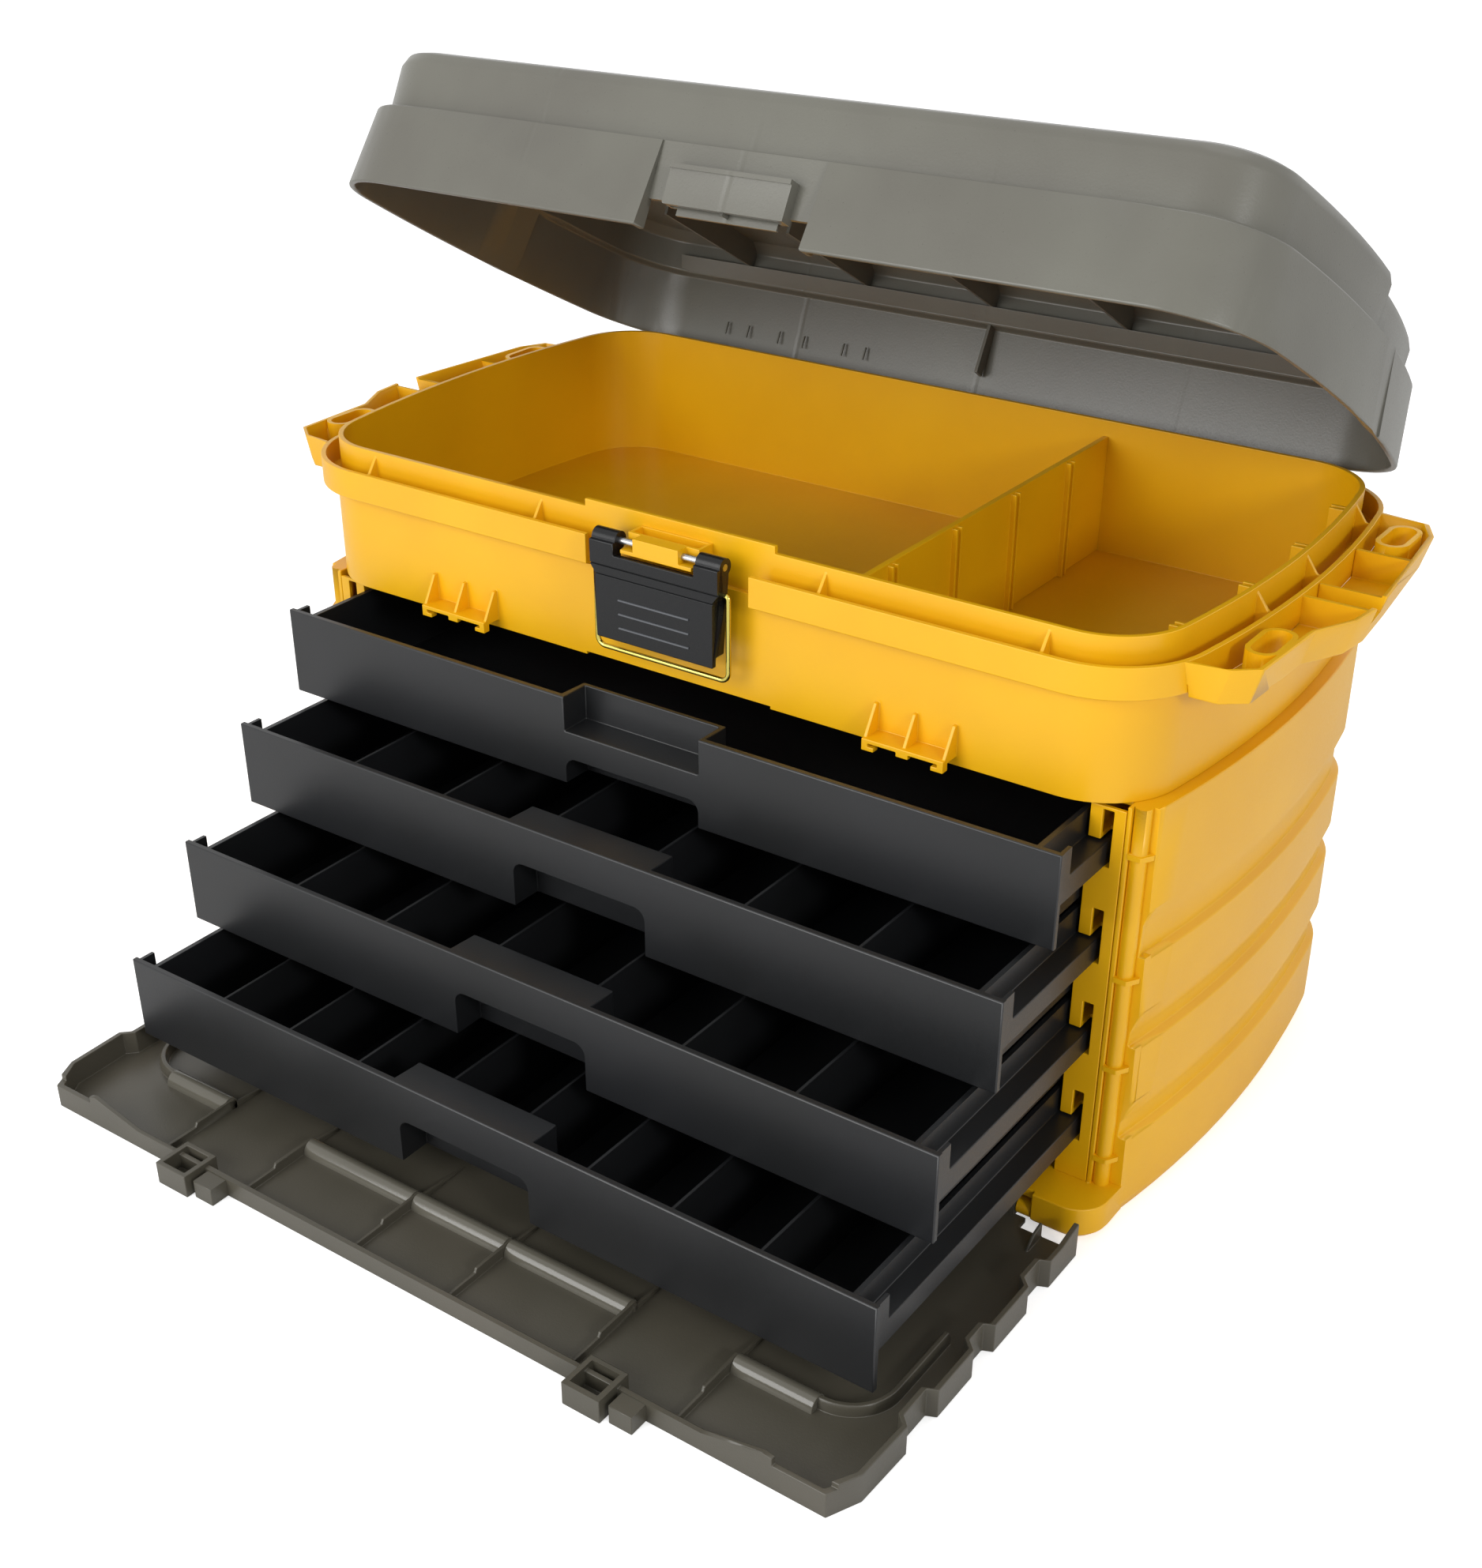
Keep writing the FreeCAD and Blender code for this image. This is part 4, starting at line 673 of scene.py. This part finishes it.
@dataclass
class Case:
    """Tub, racks, cabinet and guides: the yellow mouldings and their pins."""

    body: str = "case"
    round_mm: float = 0.7
    fine_mm: float = 0.35
    bracket_half: float = 19.5
    bracket_front_y: float = -140.8
    bracket_back_y: float = -124.3
    bracket_low_z: float = 271.6
    bracket_top_z: float = 279.8
    bracket_wall: float = 1.6
    tray_drop: float = 4.5
    notch_w: float = 7.0
    notch_drop: float = 6.4
    notch_back_y: float = -134.6

    def build(self, shop: Workshop) -> None:
        """Dresses the pieces of the case.

        Args:
            shop: Where pieces are made.
        """
        shop.dress("top_tub", self.body, Slot.CASE, self.fine_mm)
        self.bracket(shop)
        shop.dress("tub_partition", self.body, Slot.CASE, self.fine_mm)
        shop.dress("cabinet_shell", self.body, Slot.CASE, self.round_mm)
        for side in ("left", "right"):
            shop.dress(f"{side}_side_rack", self.body, Slot.CASE, self.round_mm)
            shop.dress(f"{side}_drawer_guide", self.body, Slot.CASE, self.fine_mm)
            shop.finish_node(f"{side}_lid_hinge_pin", Slot.STEEL)
            shop.finish_node(f"{side}_door_hinge_pin", Slot.STEEL)
        shop.finish_node("latch_pin", Slot.STEEL)

    def bracket(self, shop: Workshop) -> None:
        """Makes the hollow bracket, notched at both ends where the latch pin shows.

        Args:
            shop: Where pieces are made.
        """
        half = self.bracket_half
        front = self.bracket_front_y
        back = self.bracket_back_y
        top = self.bracket_top_z
        wall = self.bracket_wall
        solid = shop.block("latch_bracket_tray", (-half, front, self.bracket_low_z), (half, back, top))
        tray = shop.block("tray", (wall - half, self.notch_back_y + wall, top - self.tray_drop),
                          (half - wall, back - wall, top + wall))
        shop.carve(solid, tray)
        notch = shop.block("notch", (0.0, front - wall, top - self.notch_drop),
                           (self.notch_w + wall, self.notch_back_y, top + wall))
        for cutter in shop.repeat(notch, (-half - wall, half - self.notch_w)):
            shop.carve(solid, cutter)
        shop.complete(solid, self.body, Slot.CASE, self.fine_mm)
        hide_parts("latch_bracket")


@dataclass
class Lid:
    """Lid moulding with its carry handle; heights and depths are those of the closed lid."""

    body: str = "lid"
    round_mm: float = 1.0
    fine_mm: float = 0.2
    handle_round_mm: float = 0.6
    hinge_y: float = 138.0
    hinge_z: float = 263.6
    open_deg: float = 28.5
    back_wall_y: float = 121.0
    back_skirt_y: float = 127.2
    top_z: float = 331.0
    skirt_low: float = 281.0
    ledge_z: float = 318.3
    ledge_h: float = 8.5
    ledge_out: float = 3.8
    ledge_half: float = 198.0
    rib_pitch: float = 77.0
    rib_steps: tuple[int, ...] = (-2, -1, 0, 1)
    rib_t: float = 1.8
    rib_front_y: float = 30.0
    middle_x: float = 3.0
    middle_lift: float = 3.0
    crush_xs: tuple[float, ...] = (-161.0, -146.5, -125.5, -109.0, -83.0, -69.0)
    crush_out: float = 0.45
    crush_h: float = 7.0
    crush_t: float = 0.8
    bite: float = 0.6
    fin_xs: tuple[float, ...] = (-177.0, -119.0, -62.0, 62.0, 119.0, 177.0)
    fin_t: float = 4.0
    fin_ys: tuple[float, float] = (-120.5, -96.0)
    fin_zs: tuple[float, float] = (268.0, 297.0)

    def build(self, shop: Workshop) -> None:
        """Dresses the lid and the handle, and adds the ribs.

        Args:
            shop: Where pieces are made.
        """
        y0, y1 = self.fin_ys
        z0, z1 = self.fin_zs
        outline = [(y0, z0), (y1, z0), (y1, z1), (y0, z1)]
        tips = shop.repeat(self.upright(shop, "fin_tip", self.fin_t, outline), self.fin_xs)
        shop.dress("lid_shell", self.body, Slot.LID, self.round_mm, cuts=tips)
        shop.dress("carry_handle", "handle", Slot.LATCH, self.handle_round_mm)
        for side in ("left", "right"):
            shop.finish_node(f"{side}_handle_pin", Slot.STEEL)
        self.ribs(shop)

    def opened(self, x: float, y: float, z: float) -> Point:
        """Turns a point of the closed lid to where it is with the lid half open.

        Args:
            x: Place along the lid, in mm.
            y: Depth, in mm.
            z: Height, in mm.

        Returns:
            The turned point, in mm.
        """
        turn = math.radians(self.open_deg)
        dy = y - self.hinge_y
        dz = z - self.hinge_z
        return (x, self.hinge_y + dy * math.cos(turn) + dz * math.sin(turn),
                self.hinge_z - dy * math.sin(turn) + dz * math.cos(turn))

    def upright(self, shop: Workshop, name: str, thickness: float,
                outline: Sequence[tuple[float, float]]) -> bpy.types.Object:
        """Makes a plate that stands across the middle of the lid.

        Args:
            shop: Where pieces are made.
            name: Name of the new object.
            thickness: Thickness, in mm.
            outline: Corners in depth and height, in mm.

        Returns:
            The plate.
        """
        corners = [self.opened(-thickness / 2, y, z) for y, z in outline]
        return shop.extrude(name, corners, (thickness, 0.0, 0.0))

    def ribs(self, shop: Workshop) -> None:
        """Stiffens the back of the lid: ledge, deep ribs under the top and small ribs on the skirt.

        Args:
            shop: Where pieces are made.
        """
        wall = self.back_wall_y
        in_wall = wall + self.bite
        in_skirt = self.back_skirt_y + self.bite
        ledge_top = self.ledge_z
        ledge_low = ledge_top - self.ledge_h
        ledge = [(in_wall, ledge_low), (in_wall, ledge_top), (wall - self.ledge_out, ledge_top)]
        parts = [self.upright(shop, "ledge", 2 * self.ledge_half, ledge)]
        in_top = self.top_z + self.bite
        front = self.rib_front_y
        deep = [(in_wall, ledge_top), (in_wall, in_top), (front, in_top), (front, ledge_top)]
        deep_xs = [self.middle_x + step * self.rib_pitch for step in self.rib_steps]
        parts += shop.repeat(self.upright(shop, "deep_rib", self.rib_t, deep), deep_xs)
        foot = self.skirt_low + self.middle_lift
        middle = [(in_skirt, foot), (in_skirt, ledge_low), (wall, ledge_low), (wall, foot + self.bite)]
        parts += shop.repeat(self.upright(shop, "middle_rib", self.rib_t, middle), [self.middle_x])
        low = self.skirt_low
        high = low + self.crush_h
        out = self.back_skirt_y - self.crush_out
        crush = [(in_skirt, low), (in_skirt, high), (out, high - self.bite), (out, low)]
        parts += shop.repeat(self.upright(shop, "crush_rib", self.crush_t, crush), self.crush_xs)
        shop.complete(shop.join("lid_back_ribs", parts), self.body, Slot.LID, self.fine_mm)


@dataclass
class Latch:
    """Flap and wire bail at the front of the tub."""

    body: str = "latch"
    round_mm: float = 0.5
    fine_mm: float = 0.2
    face_y: float = -143.0
    foot_z: float = 230.0
    shave_mm: float = 0.02
    cut_reach: float = 60.0
    narrow_z: float = 262.0
    narrow_share: float = 0.92
    bar_zs: tuple[float, ...] = (236.8, 243.5, 250.2)
    bar_half: float = 19.5
    bar_h: float = 1.3
    bar_out: float = 0.6

    def build(self, shop: Workshop) -> None:
        """Dresses the latch and sets the pale grip bars on the flap.

        Args:
            shop: Where pieces are made.
        """
        reach = self.cut_reach
        low = (-reach, self.face_y - reach, self.foot_z - reach)
        front = shop.block("front_cut", low, (reach, self.face_y + self.shave_mm, self.foot_z + reach))
        foot = shop.block("foot_cut", low, (reach, self.face_y + reach, self.foot_z + self.shave_mm))
        shop.dress("latch_flap", self.body, Slot.LATCH, self.round_mm, cuts=(front, foot),
                   narrow=(self.narrow_z, self.narrow_share))
        shop.dress("latch_bail", "bail", Slot.WIRE, self.fine_mm)
        bars = shop.join("latch_grip_bars", shop.repeat(self.bar(shop), self.bar_zs, way=(0.0, 0.0, 1.0)))
        # the grip bars are coloured a paler grey than the flap
        shop.complete(bars, self.body, Slot.LATCH, self.fine_mm, material=GRIP_PLASTIC.build())

    def bar(self, shop: Workshop) -> bpy.types.Object:
        """Makes one low grip bar, its back sunk in the flap's face, at height zero.

        Args:
            shop: Where pieces are made.

        Returns:
            The bar.
        """
        x = -self.bar_half
        back = self.face_y + self.bar_out
        front = self.face_y - self.bar_out
        half = self.bar_h / 2
        outline = [(x, back, -half), (x, front, -half / 2), (x, front, half / 2), (x, back, half)]
        return shop.extrude("bar", outline, (2 * self.bar_half, 0.0, 0.0))


@dataclass
class Drawers:
    """Four sliding drawers and their dividers."""

    round_mm: float = 0.6
    divider_round_mm: float = 0.25
    bodies: tuple[str, ...] = ("drawer_a", "drawer_b", "drawer_c", "drawer_d")

    def build(self, shop: Workshop) -> None:
        """Dresses the drawers.

        Args:
            shop: Where pieces are made.
        """
        for number, body in enumerate(self.bodies, start=1):
            shop.dress(f"drawer_{number}", body, Slot.DRAWER, self.round_mm)
            if f"drawer_{number}_dividers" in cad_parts:
                shop.dress(f"drawer_{number}_dividers", body, Slot.DRAWER, self.divider_round_mm)


@dataclass
class Door:
    """Fold-down front door, lying open on the ground."""

    body: str = "door"
    round_mm: float = 0.45
    floor_z: float = 2.6
    bend_y: float = -292.0
    web_xs: tuple[float, float, float] = (28.0, 97.0, 151.0)
    web_t: float = 1.6
    web_round_mm: float = 0.4
    web_reach: float = 32.0
    web_h: float = 3.0
    ridge_half: float = 2.6
    ridge_clear_z: float = 20.8
    bead_end_x: float = 193.0
    bead_half: float = 5.2
    bead_top_z: float = 8.6
    bead_steps: int = 10
    bead_shift: float = -1.0

    def build(self, shop: Workshop) -> None:
        """Dresses the door and adds the wide bead and the low webs behind it.

        Args:
            shop: Where pieces are made.
        """
        # the door's darker colour is painted shade from the drawers above it
        finish = DOOR_PAINTED_SHADE_PLASTIC.build()
        near, inner, outer = self.web_xs
        gap = self.web_t / 2
        bays = [shop.block("bay", (x0, self.bend_y - self.ridge_half, self.floor_z),
                           (x1, self.bend_y + self.ridge_half, self.ridge_clear_z))
                for x0, x1 in ((inner + gap, outer - gap), (gap - outer, -inner - gap))]
        shop.dress("front_door", self.body, Slot.LID, self.round_mm, material=finish, cuts=bays)
        spans = ((-inner, -near), (-near, near), (near, inner), (outer, self.bead_end_x),
                 (-self.bead_end_x, -outer))
        bead = shop.join("door_bead", [self.bead(shop, x0 + gap, x1 - gap) for x0, x1 in spans])
        # the bead's colour, lighter than the door's, is a painted highlight
        shop.complete(bead, self.body, Slot.LID, self.round_mm, material=BEAD_PAINTED_HIGHLIGHT_PLASTIC.build())
        both_sides = [side * x for x in self.web_xs for side in (-1, 1)]
        webs = shop.join("door_low_webs", shop.repeat(self.web(shop), both_sides))
        shop.complete(webs, self.body, Slot.LID, self.web_round_mm, material=finish)

    def bead(self, shop: Workshop, x0: float, x1: float) -> bpy.types.Object:
        """Makes a length of the rounded bead.

        Args:
            shop: Where pieces are made.
            x0: Its left end, in mm.
            x1: Its right end, in mm.

        Returns:
            The bead.
        """
        y = self.bend_y + self.bead_shift
        half = self.bead_half
        low = self.floor_z / 2
        rise = self.bead_top_z - self.floor_z
        turns = [math.pi * i / self.bead_steps for i in range(self.bead_steps + 1)]
        outline = [(x0, y - half * math.cos(t), self.floor_z + rise * math.sin(t)) for t in turns]
        outline += [(x0, y + half, low), (x0, y - half, low)]
        return shop.extrude("bead", outline, (x1 - x0, 0.0, 0.0))

    def web(self, shop: Workshop) -> bpy.types.Object:
        """Makes a low web at the door's middle, which runs on behind the bead and dies out in the floor.

        Args:
            shop: Where pieces are made.

        Returns:
            The web.
        """
        y0 = self.bend_y
        y1 = y0 + self.web_reach
        low = self.floor_z / 2
        x0 = -self.web_t / 2
        outline = [(x0, y0, low), (x0, y1, low), (x0, y1, self.floor_z), (x0, y0, self.floor_z + self.web_h)]
        return shop.extrude("web", outline, (self.web_t, 0.0, 0.0))


def main() -> None:
    """Builds every sub-assembly and the studio."""
    logging.basicConfig(level=logging.INFO, format="%(name)s: %(message)s")
    bpy.context.scene.view_settings.view_transform = "Standard"
    shop = Workshop()
    shop.stock()
    for part in (Case(), Lid(), Latch(), Drawers(), Door()):
        part.build(shop)
        LOG.info("%s done", type(part).__name__)
    Studio().build()


if __name__ == "__main__":
    main()
